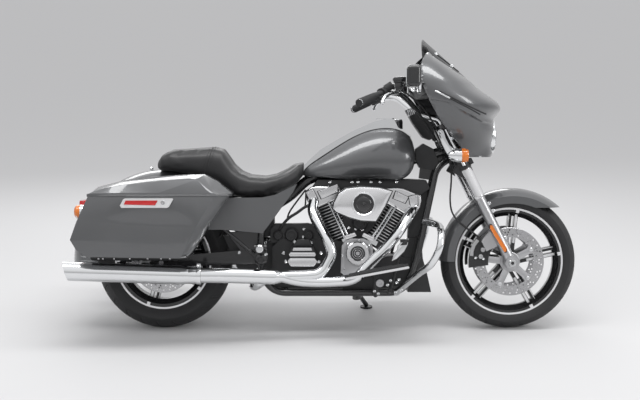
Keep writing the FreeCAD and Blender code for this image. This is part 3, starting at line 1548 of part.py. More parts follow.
def bag_lump(inset, raise_top, inner_y, crease_y, outer_y):
    """Bag filled solid between its inner face, crease and outer face."""
    rings = []
    rear = val("bag_rear_x")
    base = val("bag_base_z")
    for shares, y in ((BAG_CREASE_SHARES, inner_y), (BAG_CREASE_SHARES, crease_y),
                      (BAG_OUTER_SHARES, outer_y)):
        points = outline_points(shares, rear, base, val("bag_length"), val("bag_height"), -y)
        points[0].z += raise_top
        points[-1].z += raise_top
        wire = closed_wire(points)
        if inset:
            wire = wire.makeOffset2D(-inset, 2)
        rings.append(wire)
    return Part.makeLoft(rings, True, True)


def bag_shell():
    """Open-topped bag on the right."""
    wall = val("bag_wall")
    overrun = val("cut_overrun")
    inner_y = val("bag_inner_y")
    crease_y = val("bag_crease_y")
    outer_y = val("bag_outer_y")
    outer = bag_lump(0, 0, inner_y, crease_y, outer_y)
    inner = bag_lump(wall, wall + overrun, inner_y + wall, crease_y - wall / 2, outer_y - wall)
    return outer.cut(inner)


def lid_ring(shares, y, grow, drop):
    points = outline_points(shares, val("lid_rear_x"), val("bag_base_z") + val("bag_height"),
                            val("lid_length"), val("lid_height"), -y)
    points = [Vector(p.x, p.y, p.z + val("lid_gap")) for p in points]
    if drop:
        points[0].z -= drop
        points[-1].z -= drop
    wire = closed_wire(points)
    return wire.makeOffset2D(-grow, 2) if grow else wire


def lid_shell():
    """Hollow domed lid for the right bag."""
    wall = val("bag_wall")
    inner_y = val("bag_inner_y")
    outer_y = val("bag_outer_y")
    width = outer_y - inner_y
    stations = ((LID_INNER_SHARES, inner_y), (LID_TOP_SHARES, inner_y + width * 0.25),
                (LID_TOP_SHARES, inner_y + width * 0.68), (LID_SHOULDER_SHARES, inner_y + width * 0.9),
                (LID_RIM_SHARES, outer_y))
    outer = Part.makeLoft([lid_ring(s, y, 0, 0) for s, y in stations], True, True)
    low, high = inner_y + wall, outer_y - wall
    inner_stations = [(s, min(max(y, low), high)) for s, y in stations]
    drop = wall + val("cut_overrun")
    inner = Part.makeLoft([lid_ring(s, y, wall, drop) for s, y in inner_stations], True, True)
    return outer.cut(inner)


def make_bags():
    """Saddlebags and their lids on both sides."""
    shell = bag_shell()
    lid = lid_shell()
    feature("saddlebag_right", shell)
    feature("saddlebag_left", mirrored(shell))
    feature("bag_lid_right", lid)
    feature("bag_lid_left", mirrored(lid))


def make_latches():
    """Slanted latch plates on the bags' outer faces."""
    length = val("latch_length")
    height = val("latch_height")
    shares = ((0.02, 0), (0, 0.1), (0.05, 1), (0.98, 1), (1, 0.9), (0.86, 0.05))
    rear = val("bag_rear_x") + val("bag_length") * 0.34
    base = val("bag_base_z") + val("bag_height") - height * 1.15
    plate_y = val("bag_outer_y") + val("seat_gap")
    points = outline_points(shares, rear, base, length, height, -plate_y)
    plate = slab(points, Vector(0, -val("latch_depth"), 0))
    return feature("bag_latches", Part.makeCompound([plate, mirrored(plate)]))


def make_tail_lamps():
    """Tail lamp on the fender with a turn lamp on each side."""
    radius = val("signal_radius")
    width = val("tail_lamp_width")
    z = val("tail_lamp_z")
    fender = val("rear_fender_radius") + val("seat_gap")
    reach = math.sqrt(fender * fender - (z - REAR_AXLE.z) ** 2)
    face_x = REAR_AXLE.x - reach
    block = Part.makeBox(radius * 3, width, val("tail_lamp_height"),
                         Vector(face_x - radius * 1.5, -width / 2, z - val("tail_lamp_height") / 2))
    hollow = Part.makeCylinder(fender, width, REAR_AXLE - Vector(0, width / 2, 0), Vector(0, 1, 0))
    parts = [block]
    for side in (-1, 1):
        lamp = Vector(face_x - radius * 1.2, side * val("signal_y"), z - radius * 0.7)
        inward = Vector(radius * 0.35, 0, 0)
        root = Vector(lamp.x, side * width / 4, lamp.z)
        parts.append(rod(root + inward, lamp + inward, radius * 0.27))
        parts.append(rod(lamp, lamp + Vector(radius * 1.5, 0, 0), radius))
    whole = joined(parts).cut(hollow)
    return feature("tail_lamps", whole)


# Engine

def bank_direction(side):
    """Direction of one cylinder from the crank: minus one is the rear one."""
    turn = math.radians(side * val("bank_angle") + val("vee_tilt_angle"))
    return Vector(math.sin(turn), 0, math.cos(turn))


CRANK = Vector(val("crank_x"), 0, val("crank_z"))


def make_engine_case():
    """Crankcase and gearbox, filled as one heavy block."""
    body = new_body("engine_case")
    half = "Sizes.case_half_width * 2"
    crank = new_sketch(body, "crank_circle", "XZ_Plane")
    draw_circle(crank, "Sizes.crank_radius", "Sizes.crank_x", "Sizes.crank_z")
    add_pad(body, crank, "crankcase", half, "Symmetric")
    box = new_sketch(body, "gearbox_outline", "XZ_Plane")
    right = "Sizes.crank_x"
    left = "Sizes.crank_x - Sizes.gearbox_length"
    base = "Sizes.gearbox_base_z"
    top = "Sizes.gearbox_base_z + Sizes.gearbox_height"
    draw_outline(box, ((right, base), (right, f"{top} - Sizes.gearbox_height / 8"),
                       (f"{right} - Sizes.gearbox_length / 3", top), (f"{left} + Sizes.rim_drop * 2", top),
                       (left, f"{top} - Sizes.rim_drop * 2"), (left, f"{base} + Sizes.rim_drop"),
                       (f"{left} + Sizes.rim_drop", base)))
    add_pad(body, box, "gearbox", f"{half} - Sizes.flange_width", "Symmetric")
    foot_z = "Sizes.rail_z + Sizes.tube_radius * 0.8 + Sizes.seat_gap"
    foot_top = "Sizes.gearbox_base_z + Sizes.rim_drop * 2"
    for index, x_share in enumerate(CROSS_TUBE_SHARES):
        foot = new_sketch(body, f"mount_foot_{index}", "XZ_Plane")
        rear = f"Sizes.frame_length * {x_share} - Sizes.tube_radius"
        front = f"Sizes.frame_length * {x_share} + Sizes.tube_radius"
        draw_outline(foot, ((front, foot_z), (front, foot_top), (rear, foot_top), (rear, foot_z)))
        add_pad(body, foot, f"engine_mount_{index}", "Sizes.case_half_width", "Symmetric")
    return place(body, "engine_case")


def make_cylinders():
    """Finned barrels and heads of both cylinders."""
    parts = []
    for side in (-1, 1):
        along = bank_direction(side)
        pitch = val("fin_pitch")
        count = int(val("fin_count"))
        start = val("fins_start")
        top = start + pitch * count
        radius = val("barrel_radius")
        solids = [rod(CRANK + along * val("barrel_start"), CRANK + along * top, radius)]
        for index in range(count):
            place_on = start + pitch * index
            solids.append(rod(CRANK + along * place_on,
                              CRANK + along * (place_on + val("fin_thickness")), val("fin_radius")))
        cylinder = joined(solids)
        case = Part.makeCylinder(val("crank_radius") + val("seat_gap"), val("case_half_width") * 2,
                                 CRANK - Vector(0, val("case_half_width"), 0), Vector(0, 1, 0))
        parts.append(cylinder.cut(case))
    middle = Part.makeBox(val("fin_radius") * 2, val("fin_radius") * 4, val("fin_radius") * 8,
                          CRANK - Vector(0, val("fin_radius") * 2, 0))
    overrun = val("seat_gap") / 2
    right_half = middle.copy()
    right_half.translate(Vector(overrun, 0, 0))
    left_half = middle.copy()
    left_half.translate(Vector(-val("fin_radius") * 2 - overrun, 0, 0))
    rear = parts[0].cut(right_half)
    front = parts[1].cut(left_half)
    gearbox = upright("engine_case")
    return feature("cylinders", Part.makeCompound([rear.cut(gearbox), front.cut(gearbox)]))


REAR_ROCKER_SHARES = ((-0.161, 0.87), (-0.12, 0.93), (-0.077, 0.95), (0.106, 0.95),
                      (0.115, 0.86), (0.1, 0.735), (-0.108, 0.555), (-0.154, 0.72))
FRONT_ROCKER_SHARES = ((0.4, 0.92), (0.569, 0.93), (0.62, 0.915), (0.76, 0.8), (0.765, 0.7),
                       (0.752, 0.6), (0.7, 0.425), (0.42, 0.755))


def make_rocker_covers():
    """Chrome rocker covers over both heads."""
    half = val("rocker_half_width")
    height = val("tank_base_z") - val("tube_radius") - val("crank_z") - val("crank_radius")
    base = val("crank_z") + val("crank_radius")
    length = val("frame_length") * 0.36
    parts = []
    for side, shares in ((-1, REAR_ROCKER_SHARES), (1, FRONT_ROCKER_SHARES)):
        points = outline_points(shares, 0, base, length, height, -half)
        cover = slab(points, Vector(0, 2 * half, 0))
        lateral = [e for e in cover.Edges if abs(e.tangentAt(e.FirstParameter).y) < 0.1]
        cover = cover.makeFillet(val("fin_pitch"), lateral)
        along = bank_direction(side)
        top = val("fins_start") + val("fin_pitch") * val("fin_count") + val("seat_gap")
        head = rod(CRANK, CRANK + along * top, val("fin_radius") * 2)
        parts.append(cover.cut(head))
    return feature("rocker_covers", Part.makeCompound(parts))


def make_pushrods():
    """Pushrod tubes with their lifter blocks, on the right of the engine."""
    radius = val("pushrod_radius")
    y = -(val("fin_radius") + radius * 3)
    parts = []
    for side in (-1, 1):
        along = bank_direction(side)
        lean = Vector(-side, 0, 0)
        block_centre = CRANK + along * val("barrel_start") * 1.55 + lean * radius * 2
        block_centre.y = y
        block = Part.makeBox(radius * 9, radius * 4, radius * 4,
                             block_centre - Vector(radius * 4.5, radius * 2, radius * 4))
        block.rotate(block_centre, Vector(0, 1, 0), side * val("bank_angle"))
        tubes = []
        for offset in (-1.6, 1.6):
            foot = block_centre + Vector(along.z, 0, -along.x) * radius * offset
            head = CRANK + along * (val("fins_start") + val("fin_pitch") * val("fin_count"))
            head = Vector(head.x, y, head.z) + lean * radius * (1 - offset * side)
            tubes.append(rod(foot - along * radius, head, radius))
        parts.append(joined([block] + tubes))
    case = upright("engine_case").fuse(upright("cam_cover"))
    return feature("pushrod_tubes", Part.makeCompound([part.cut(case) for part in parts]))


def make_cam_cover():
    """Right-hand cam cover with the round timer cover."""
    body = new_body("cam_cover")
    face = "Sizes.case_half_width + Sizes.seat_gap"
    corners = ((-1.28, 0.5), (-1.05, 0.95), (-0.55, 1.22), (0.55, 1.22), (1.05, 0.95), (1.3, 0.5),
               (1.3, -0.3), (1, -0.95), (0.4, -1.4), (-0.4, -1.68), (-1.02, -1.85), (-1.35, -1.6))
    outline = new_sketch(body, "cam_outline", "XZ_Plane", face)
    draw_outline(outline, [(f"Sizes.timer_x + Sizes.timer_radius * {a}",
                            f"Sizes.timer_z + Sizes.timer_radius * {b}") for a, b in corners])
    add_pad(body, outline, "cam_block", "Sizes.cam_cover_depth")
    timer = new_sketch(body, "timer_circle", "XZ_Plane", f"{face} + Sizes.cam_cover_depth")
    draw_circle(timer, "Sizes.timer_radius", "Sizes.timer_x", "Sizes.timer_z")
    add_pad(body, timer, "timer_rim", "Sizes.timer_depth")
    dish = new_sketch(body, "timer_dish_circle", "XZ_Plane",
                      f"{face} + Sizes.cam_cover_depth + Sizes.timer_depth")
    draw_circle(dish, "Sizes.timer_radius * 0.66", "Sizes.timer_x", "Sizes.timer_z")
    add_pocket(body, dish, "timer_dish", "Sizes.timer_depth", "Symmetric")
    return place(body, "cam_cover")


def make_gearbox_cover():
    """Right-hand gearbox cover."""
    body = new_body("gearbox_cover")
    corners = ((-0.8, 0), (-1, 0.35), (-0.8, 0.85), (0.8, 0.85), (1, 0.35), (0.8, -0.1), (0.5, -0.35),
               (-0.5, -0.35))
    outline = new_sketch(body, "gearbox_cover_outline", "XZ_Plane",
                         "Sizes.case_half_width - Sizes.flange_width / 2 + Sizes.seat_gap")
    half = "Sizes.crank_radius * 0.54"
    draw_outline(outline, [(f"Sizes.crank_x - Sizes.crank_radius * 2.21 + {half} * {a}",
                            f"Sizes.pivot_z - Sizes.rim_wall + {half} * {b}") for a, b in corners])
    add_pad(body, outline, "gearbox_cover_block", "Sizes.gearbox_cover_depth")
    return place(body, "gearbox_cover")


def make_primary():
    """Left-hand primary cover: two round ends joined by a flat waist."""
    inner = val("primary_inner_y")
    outer = val("primary_outer_y")
    radius = val("primary_radius")
    length = val("gearbox_length")
    front = Vector(val("crank_x"), inner, val("crank_z"))
    rear = Vector(val("crank_x") - length * 0.78, inner, val("crank_z") + radius * 0.2)
    along = Vector(0, 1, 0)
    depth = outer - inner
    parts = [Part.makeCylinder(radius, depth, front, along),
             Part.makeCylinder(radius, depth, rear, along),
             slab([front + Vector(0, 0, radius), rear + Vector(0, 0, radius),
                   rear - Vector(0, 0, radius), front - Vector(0, 0, radius)],
                  Vector(0, depth, 0))]
    cover = joined(parts)
    rim = [e for e in cover.Edges if e.BoundBox.YMin > outer - val("fin_thickness")]
    cover = cover.makeFillet(radius * 0.18, rim)
    spacer_face = val("case_half_width") + val("seat_gap")
    spacer = Part.makeCylinder(radius * 0.8, inner - spacer_face,
                               Vector(front.x, spacer_face, front.z), along)
    return feature("primary_cover", joined([cover, spacer]))


AIR_CLEANER_SHARES = ((0, 0.4), (0.03, 0.67), (0.14, 0.88), (0.29, 0.97), (0.54, 1), (0.8, 0.96),
                      (1, 0.86), (0.9, 0.54), (0.81, 0.22), (0.73, 0.02), (0.59, 0), (0.37, 0.06),
                      (0.17, 0.21))


def make_air_cleaner():
    """Teardrop air cleaner with the seat for its round insert."""
    inner = val("air_cleaner_inner_y")
    outer = val("air_cleaner_outer_y")
    radius = val("insert_radius")
    length = radius * 5.5
    height = radius * 3.1
    rear = val("crank_x") - radius * 2.39
    base = val("crank_z") + radius * 4.78
    depth = outer - inner
    low = outline_points(AIR_CLEANER_SHARES, rear, base, length, height, -inner)
    block = slab(low, Vector(0, -depth, 0))
    face = [e for e in block.Edges if e.BoundBox.YMax < -outer + val("fin_thickness")]
    block = block.makeChamfer(depth * 0.2, face)
    insert = air_insert_centre()
    seat = Part.makeCylinder(radius + val("seat_gap"), val("insert_depth") * 2,
                             insert + Vector(0, val("insert_depth"), 0), Vector(0, -1, 0))
    return feature("air_cleaner", joined([block.cut(seat), neck_part(insert, inner, radius)]))


def air_insert_centre():
    radius = val("insert_radius")
    return Vector(val("crank_x") + radius * 0.42, -val("air_cleaner_outer_y"),
                  val("crank_z") + radius * 6.39)


def neck_part(insert, inner, radius):
    """Intake neck from the air cleaner in between the cylinders."""
    start = Vector(val("crank_x"), -inner - val("fin_pitch"), insert.z - radius * 0.4)
    neck = Part.makeCylinder(radius * 0.6, inner + val("fin_pitch"), start, Vector(0, 1, 0))
    reach = Vector(val("barrel_start"), 0, 0)
    middle = Vector(start.x, -radius * 0.4, start.z)
    branch = rod(middle - reach, middle + reach, radius * 0.36)
    top = val("fins_start") + val("fin_pitch") * val("fin_count")
    for side in (-1, 1):
        along = bank_direction(side)
        branch = branch.cut(rod(CRANK, CRANK + along * top * 1.2, val("fin_radius") + val("seat_gap")))
    return joined([neck, branch])


def make_air_insert():
    """Round insert in the air cleaner's face."""
    radius = val("insert_radius")
    depth = val("insert_depth")
    disc = Part.makeCylinder(radius, depth * 1.2, air_insert_centre() + Vector(0, depth - val("seat_gap"), 0),
                             Vector(0, -1, 0))
    return feature("air_insert", disc)


def make_horn_cover():
    """Horn cover on the left, between the cylinders."""
    centre = air_insert_centre()
    radius = val("insert_radius")
    start = Vector(val("crank_x"), val("insert_radius") * 2.6, centre.z - radius)
    cover = Part.makeCylinder(radius * 1.3, radius * 0.9, start, Vector(0, 1, 0))
    rim = [e for e in cover.Edges if e.BoundBox.YMin > start.y + radius * 0.5]
    cover = cover.makeFillet(radius * 0.3, rim)
    neck_z = centre.z - radius * 0.4
    root = Vector(start.x, val("seat_gap"), neck_z - radius * 0.2)
    stay = Part.makeCylinder(radius * 0.3, start.y, root, Vector(0, 1, 0))
    return feature("horn_cover", joined([cover, stay]))


# Exhaust

UPPER_PIPE_SHARES = ((-0.035, -0.05, 0.37), (-0.04, -0.078, 0.343), (-0.025, -0.1, 0.31),
                     (0.005, -0.13, 0.262), (0.018, -0.137, 0.225), (-0.012, -0.14, 0.168),
                     (-0.07, -0.15, 0.165), (-0.2, -0.1763, 0.1665))
LOWER_PIPE_SHARES = ((0.25, -0.05, 0.35), (0.238, -0.09, 0.335), (0.206, -0.13, 0.288),
                     (0.165, -0.134, 0.238), (0.125, -0.134, 0.2), (0.08, -0.136, 0.15),
                     (-0.02, -0.14, 0.146), (-0.08, -0.15, 0.15), (-0.14, -0.168, 0.168))
CROSS_PIPE_SHARES = ((-0.16, -0.17, 0.168), (-0.2, -0.14, 0.135), (-0.215, 0, 0.13),
                     (-0.235, 0.12, 0.14))
COLLECTOR_SHARES = (-0.145, -0.1675, 0.1637)


def pipe_end(side):
    """End of the pipe inside the muffler's socket."""
    return Vector(val("muffler_rear_x") + val("muffler_length") + val("fin_pitch"),
                  side * val("muffler_y"), val("muffler_z"))


def make_pipes():
    """Exhaust headers from both heads, the collector and the crossover pipe."""
    radius = val("header_radius")
    wide = val("collector_radius")
    tail = Vector(val("muffler_length") * 0.2, 0, 0)
    parts = [bent_tube([frame_point(*p) for p in shares], radius)
             for shares in (UPPER_PIPE_SHARES, LOWER_PIPE_SHARES)]
    left_end = pipe_end(1)
    cross = [frame_point(*p) for p in CROSS_PIPE_SHARES] + [left_end + tail * 1.2, left_end]
    parts.append(bent_tube(cross, radius))
    collector = frame_point(*COLLECTOR_SHARES)
    right_end = pipe_end(-1)
    parts.append(bent_tube([collector, right_end + tail, right_end], wide))
    parts.append(rod(left_end + tail * 0.7, left_end, wide))
    into = right_end + tail - collector
    into.normalize()
    parts.append(Part.makeCone(radius, wide, wide, collector - into * wide, into))
    pipes = joined(parts).cut(upright("cylinders")).cut(upright("rocker_covers"))
    solids = sorted(pipes.Solids, key=lambda solid: solid.Volume)
    return feature("exhaust_pipes", solids[-1])


def make_mufflers():
    """Slash-cut mufflers with a collar at the front."""
    radius = val("muffler_radius")
    length = val("muffler_length")
    collar = val("collector_radius") * 1.12
    parts = []
    for side in (-1, 1):
        rear = Vector(val("muffler_rear_x"), side * val("muffler_y"), val("muffler_z"))
        along = Vector(1, 0, 0)
        body = Part.makeCylinder(radius, length * 0.9, rear, along)
        cone_start = rear + along * length * 0.9
        cone = Part.makeCone(radius, collar, length * 0.06, cone_start, along)
        ring = Part.makeCylinder(collar, length * 0.08, cone_start + along * length * 0.06, along)
        muffler = joined([body, cone, ring])
        bore = Part.makeCylinder(val("muffler_bore_radius"), val("muffler_bore_depth"), rear, along)
        slash = Part.makeBox(radius * 2, radius * 3, radius * 3,
                             rear - Vector(radius * 2, radius * 1.5, radius * 1.5))
        slash.rotate(rear + Vector(0, 0, radius), Vector(0, 1, 0), -val("muffler_slash_angle"))
        muffler = muffler.cut(bore).cut(slash)
        muffler.rotate(rear + along * length, Vector(0, 1, 0), val("muffler_rise_angle"))
        socket = Part.makeCylinder(val("collector_radius") + val("seat_gap"), length,
                                   pipe_end(side) - along * val("seat_gap"), along)
        parts.append(muffler.cut(socket))
    return feature("mufflers", Part.makeCompound(parts))


# Small pieces on the frame

COOLER_SHARES = ((0.17, 0.8), (0.39, 1.48), (0.59, 1.48), (0.65, 0.92), (0.845, 0.44), (0.99, -0.02),
                 (0.04, -0.02))
COOLER_STAY_SHARES = (((0.268, 0.03, 0.246), (0.27, 0.055, 0.246)),
                      ((0.252, 0.03, 0.154), (0.242, 0.066, 0.154)))


def make_oil_cooler():
    """Cooler block ahead of the engine, between the down tubes."""
    half = val("rail_y") * 0.55
    base = val("rail_z")
    x = val("crank_x") + val("crank_radius") * 2
    length = val("crank_radius")
    points = outline_points(COOLER_SHARES, x, base, length, length * 1.45, -half)
    parts = [slab(points, Vector(0, 2 * half, 0))]
    for side in (-1, 1):
        for stay, tube in COOLER_STAY_SHARES:
            inner = frame_point(*stay)
            outer = frame_point(*tube)
            parts.append(rod(Vector(inner.x, side * inner.y, inner.z),
                             Vector(outer.x, side * outer.y, outer.z), val("pin_radius")))
    cooler = joined(parts).cut(upright("main_frame"))
    solids = sorted(cooler.Solids, key=lambda solid: solid.Volume)
    return feature("oil_cooler", solids[-1])


def make_battery_box():
    """Battery box under the seat, ahead of the rear tyre."""
    half = val("case_half_width") * 0.72
    x = val("pivot_x") - val("arm_height") * 1.6
    base = val("gearbox_base_z") + val("gearbox_height") + val("fin_pitch")
    height = (frame_point(*SEAT_CROSS_SHARES).z - val("tube_radius") * 0.8 - val("seat_gap")
              - base)
    return feature("battery_box", Part.makeBox(half * 2.2, half * 2, height, Vector(x, -half, base)))


REAR_LUG_SHARES = ((0.45, -0.05), (0.95, -0.05), (0.95, 0.6), (0.6, 0.6), (0.45, 0.3))


def make_rear_caliper():
    """Rear caliper above the disc on the right arm."""
    radius = val("rear_disc_radius")
    thickness = val("disc_thickness")
    y = -val("rear_disc_y")
    depth = thickness * 9
    start = REAR_AXLE + Vector(0, y - depth / 2 - thickness, 0)
    block = Part.makeCylinder(radius * 1.18, depth, start, Vector(0, 1, 0),
                              val("rear_caliper_span_angle"))
    block = block.cut(Part.makeCylinder(radius * 0.68, depth * 2, start - Vector(0, depth / 2, 0),
                                        Vector(0, 1, 0)))
    block.rotate(REAR_AXLE, Vector(0, 1, 0), val("rear_caliper_angle"))
    arm_face = val("arm_inner_y") - val("seat_gap")
    lug = slab(outline_points(REAR_LUG_SHARES, REAR_AXLE.x, REAR_AXLE.z, radius, radius, -arm_face),
               Vector(0, arm_face + start.y + thickness, 0))
    block = joined([block, lug])
    slot = Part.makeCylinder(radius + thickness, thickness * 3,
                             REAR_AXLE + Vector(0, y - thickness * 1.5, 0), Vector(0, 1, 0))
    return feature("rear_caliper", block.cut(slot))


def make_all():
    make_wheels()
    make_fork_group()
    make_frame()
    make_swingarm()
    make_shocks()
    make_belt()
    make_guard()
    make_stand()
    make_peg(-1, "peg_right")
    make_peg(1, "peg_left")
    make_board(-1, "floorboard_right")
    make_board(1, "floorboard_left")
    make_board_brackets()
    make_foot_controls()
    make_tank()
    make_console()
    make_fuel_door()
    make_seat()
    make_side_covers()
    make_rear_fender()
    make_bags()
    make_latches()
    make_tail_lamps()
    make_engine_case()
    make_cylinders()
    make_rocker_covers()
    make_cam_cover()
    make_pushrods()
    make_gearbox_cover()
    make_primary()
    make_air_cleaner()
    make_air_insert()
    make_horn_cover()
    make_pipes()
    make_mufflers()
    make_oil_cooler()
    make_battery_box()
    make_rear_caliper()


def check_and_write():
    """Check every object and piece, then write one file for each piece."""
    doc.recompute()
    failed = [item.Name for item in doc.Objects
              if "Invalid" in item.State or "Error" in item.State]
    for piece in pieces:
        if piece.Shape.isNull() or not piece.Shape.isValid() or not piece.Shape.Solids:
            failed.append(piece.Label)
    if failed:
        raise RuntimeError("not sound: " + ", ".join(failed))
    os.makedirs("parts", exist_ok=True)
    for piece in pieces:
        piece.Shape.exportStep(f"parts/{piece.Label}.step")
    print(len(pieces), "pieces written")


make_all()
check_and_write()
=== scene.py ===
"""Looks of a touring cruiser motorcycle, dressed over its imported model."""

from __future__ import annotations

import json
import logging
import math
from dataclasses import dataclass, field
from enum import Enum
from typing import Callable, Iterable, Sequence

import bpy
from mathutils import Matrix, Vector

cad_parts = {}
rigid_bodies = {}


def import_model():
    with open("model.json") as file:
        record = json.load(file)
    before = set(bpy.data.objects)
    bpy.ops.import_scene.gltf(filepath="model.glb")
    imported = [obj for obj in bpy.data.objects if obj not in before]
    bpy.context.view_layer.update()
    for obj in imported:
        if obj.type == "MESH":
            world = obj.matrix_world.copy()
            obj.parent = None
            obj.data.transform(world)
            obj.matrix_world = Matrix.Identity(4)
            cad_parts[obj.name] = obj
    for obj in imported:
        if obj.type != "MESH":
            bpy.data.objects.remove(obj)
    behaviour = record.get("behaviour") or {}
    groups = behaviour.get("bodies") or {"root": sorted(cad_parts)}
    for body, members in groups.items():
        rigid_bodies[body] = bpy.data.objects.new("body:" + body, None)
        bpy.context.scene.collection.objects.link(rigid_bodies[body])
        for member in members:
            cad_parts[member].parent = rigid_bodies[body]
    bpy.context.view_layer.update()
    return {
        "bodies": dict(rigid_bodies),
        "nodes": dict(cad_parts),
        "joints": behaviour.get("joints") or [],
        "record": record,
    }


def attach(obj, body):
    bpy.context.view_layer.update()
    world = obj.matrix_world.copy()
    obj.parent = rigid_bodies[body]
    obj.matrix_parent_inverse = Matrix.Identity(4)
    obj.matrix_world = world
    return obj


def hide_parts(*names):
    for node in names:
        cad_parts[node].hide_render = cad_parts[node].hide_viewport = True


LOG = logging.getLogger("motorcycle")
Point = tuple[float, float, float]
Flat = tuple[float, float]
Outline = tuple[Flat, ...]
Route = tuple[Point, ...]
Piece = bpy.types.Object


def flat_mm(*values: float) -> Outline:
    """Pair up the numbers of an outline given in millimetres."""
    metres = [round(value * 0.001, 7) for value in values]
    return tuple(zip(metres[::2], metres[1::2]))


def route_mm(*values: float) -> Route:
    """Take the numbers of a route given in millimetres by threes."""
    metres = [round(value * 0.001, 7) for value in values]
    return tuple(zip(metres[::3], metres[1::3], metres[2::3]))


LEAN = math.radians(8.0)
PARK = Matrix.Translation((0.0065, -0.1313, 0.001055)) @ Matrix.Rotation(-LEAN, 4, "X")
ALONG = Vector((0, 1, 0))
FORWARD = Vector((1, 0, 0))
LOOKS_UP = 0.9
LOOKS_SAME_WAY = 0.95
MERGE_DISTANCE = 2e-05
FRONT_AXLE = Vector((0.862, 0, 0.318))
REAR_AXLE = Vector((-0.763, 0, 0.32))


class Grain(Enum):
    """Kinds of fine surface detail."""

    FLAKE = "flake"
    CAST = "cast"
    BRUSHED = "brushed"
    LEATHER = "leather"
    MOULDED = "moulded"
    SMOOTH = "smooth"


class CloudyMaterial:
    """Material whose colour and roughness vary softly over a piece."""

    def __init__(self, name: str) -> None:
        """Start the material.

        Args:
            name: Its name.
        """
        self.material = bpy.data.materials.new(name)
        self.material.use_nodes = True
        self.nodes = self.material.node_tree.nodes
        self.links = self.material.node_tree.links
        self.shader = self.nodes["Principled BSDF"]
        self.place = self.nodes.new("ShaderNodeTexCoord").outputs["Object"]

    def set(self, socket: str, value: float) -> None:
        """Set one value of the surface shader."""
        self.shader.inputs[socket].default_value = value

    def vary(self, scale: float, detail: float, shades: Sequence[Sequence[float]],
            gloss: Flat) -> None:
        """Mix two shades and two roughnesses by soft noise.

        Args:
            scale: The noise's scale.
            detail: The noise's detail.
            shades: The darker and the lighter colour.
            gloss: The lower and the higher roughness.
        """
        cloud = self.nodes.new("ShaderNodeTexNoise")
        cloud.inputs["Scale"].default_value = scale
        cloud.inputs["Detail"].default_value = detail
        self.links.new(self.place, cloud.inputs["Vector"])
        tint = self.nodes.new("ShaderNodeMix")
        tint.data_type = "RGBA"
        tint.inputs[6].default_value = (*shades[0], 1)
        tint.inputs[7].default_value = (*shades[1], 1)
        self.links.new(cloud.outputs["Fac"], tint.inputs[0])
        self.links.new(tint.outputs[2], self.shader.inputs["Base Color"])
        rough = self.nodes.new("ShaderNodeMapRange")
        rough.inputs["To Min"].default_value = gloss[0]
        rough.inputs["To Max"].default_value = gloss[1]
        self.links.new(cloud.outputs["Fac"], rough.inputs["Value"])
        self.links.new(rough.outputs["Result"], self.shader.inputs["Roughness"])

    def emboss(self, height: bpy.types.NodeSocket, strength: float) -> None:
        """Bump the surface by one pattern.

        Args:
            height: The pattern's height.
            strength: The relief's strength.
        """
        bump = self.nodes.new("ShaderNodeBump")
        bump.inputs["Strength"].default_value = strength
        bump.inputs["Distance"].default_value = 0.001
        self.links.new(height, bump.inputs["Height"])
        self.links.new(bump.outputs["Normal"], self.shader.inputs["Normal"])


@dataclass(frozen=True)
class Finish:
    """One painted, plated or moulded finish."""

    name: str
    slot: str
    colour: tuple[float, float, float]
    metallic: float = 0.0
    roughness: float = 0.4
    coat: float = 0.0
    grain: Grain = Grain.SMOOTH
    scale: float = 400.0
    bump: float = 0.1
    spread: float = 0.12

    def build(self) -> bpy.types.Material:
        """Make the finish's material.

        Returns:
            A material whose colour, roughness and relief vary over the piece.
        """
        cloudy = CloudyMaterial(self.name)
        cloudy.set("Metallic", self.metallic)
        cloudy.set("Coat Weight", self.coat)
        cloudy.set("Coat Roughness", 0.04)
        low = tuple(c * (1.0 - self.spread) for c in self.colour)
        high = tuple(min(1.0, c * (1.0 + self.spread)) for c in self.colour)
        cloudy.vary(9.0, 4.0, (low, high), (self.roughness * 0.85, min(1.0, self.roughness * 1.2)))
        self._relief(cloudy)
        return cloudy.material

    def _relief(self, cloudy: CloudyMaterial) -> None:
        """Add the fine relief of the grain.

        Args:
            cloudy: The material that gets it.
        """
        if self.grain is Grain.SMOOTH:
            return
        cells = self.grain in (Grain.LEATHER, Grain.MOULDED)
        pattern = cloudy.nodes.new("ShaderNodeTexVoronoi" if cells else "ShaderNodeTexNoise")
        pattern.inputs["Scale"].default_value = self.scale
        if not cells:
            pattern.inputs["Detail"].default_value = 3.0
        place = cloudy.place
        if self.grain is Grain.BRUSHED:
            stretch = cloudy.nodes.new("ShaderNodeMapping")
            stretch.inputs["Scale"].default_value = (0.06, 1, 1)
            cloudy.links.new(place, stretch.inputs["Vector"])
            place = stretch.outputs["Vector"]
        cloudy.links.new(place, pattern.inputs["Vector"])
        cloudy.emboss(pattern.outputs["Distance" if cells else "Fac"], self.bump)


@dataclass(frozen=True)
class Lens:
    """Clear or coloured lens with a fine prism pattern."""

    name: str
    slot: str
    colour: tuple[float, float, float]
    transmission: float
    roughness: float = 0.08
    ribs: float = 260.0
    relief: float = 0.25
    coat: float = 0.6
    ior: float = 1.49

    def build(self) -> bpy.types.Material:
        """Make the lens material."""
        cloudy = CloudyMaterial(self.name)
        cloudy.set("Transmission Weight", self.transmission)
        cloudy.set("Coat Weight", self.coat)
        cloudy.set("IOR", self.ior)
        low = tuple(c * 0.85 for c in self.colour)
        cloudy.vary(30.0, 2.0, (low, self.colour), (self.roughness, self.roughness * 1.5))
        prism = cloudy.nodes.new("ShaderNodeTexVoronoi")
        prism.inputs["Scale"].default_value = self.ribs
        cloudy.links.new(cloudy.place, prism.inputs["Vector"])
        cloudy.emboss(prism.outputs["Distance"], self.relief)
        return cloudy.material


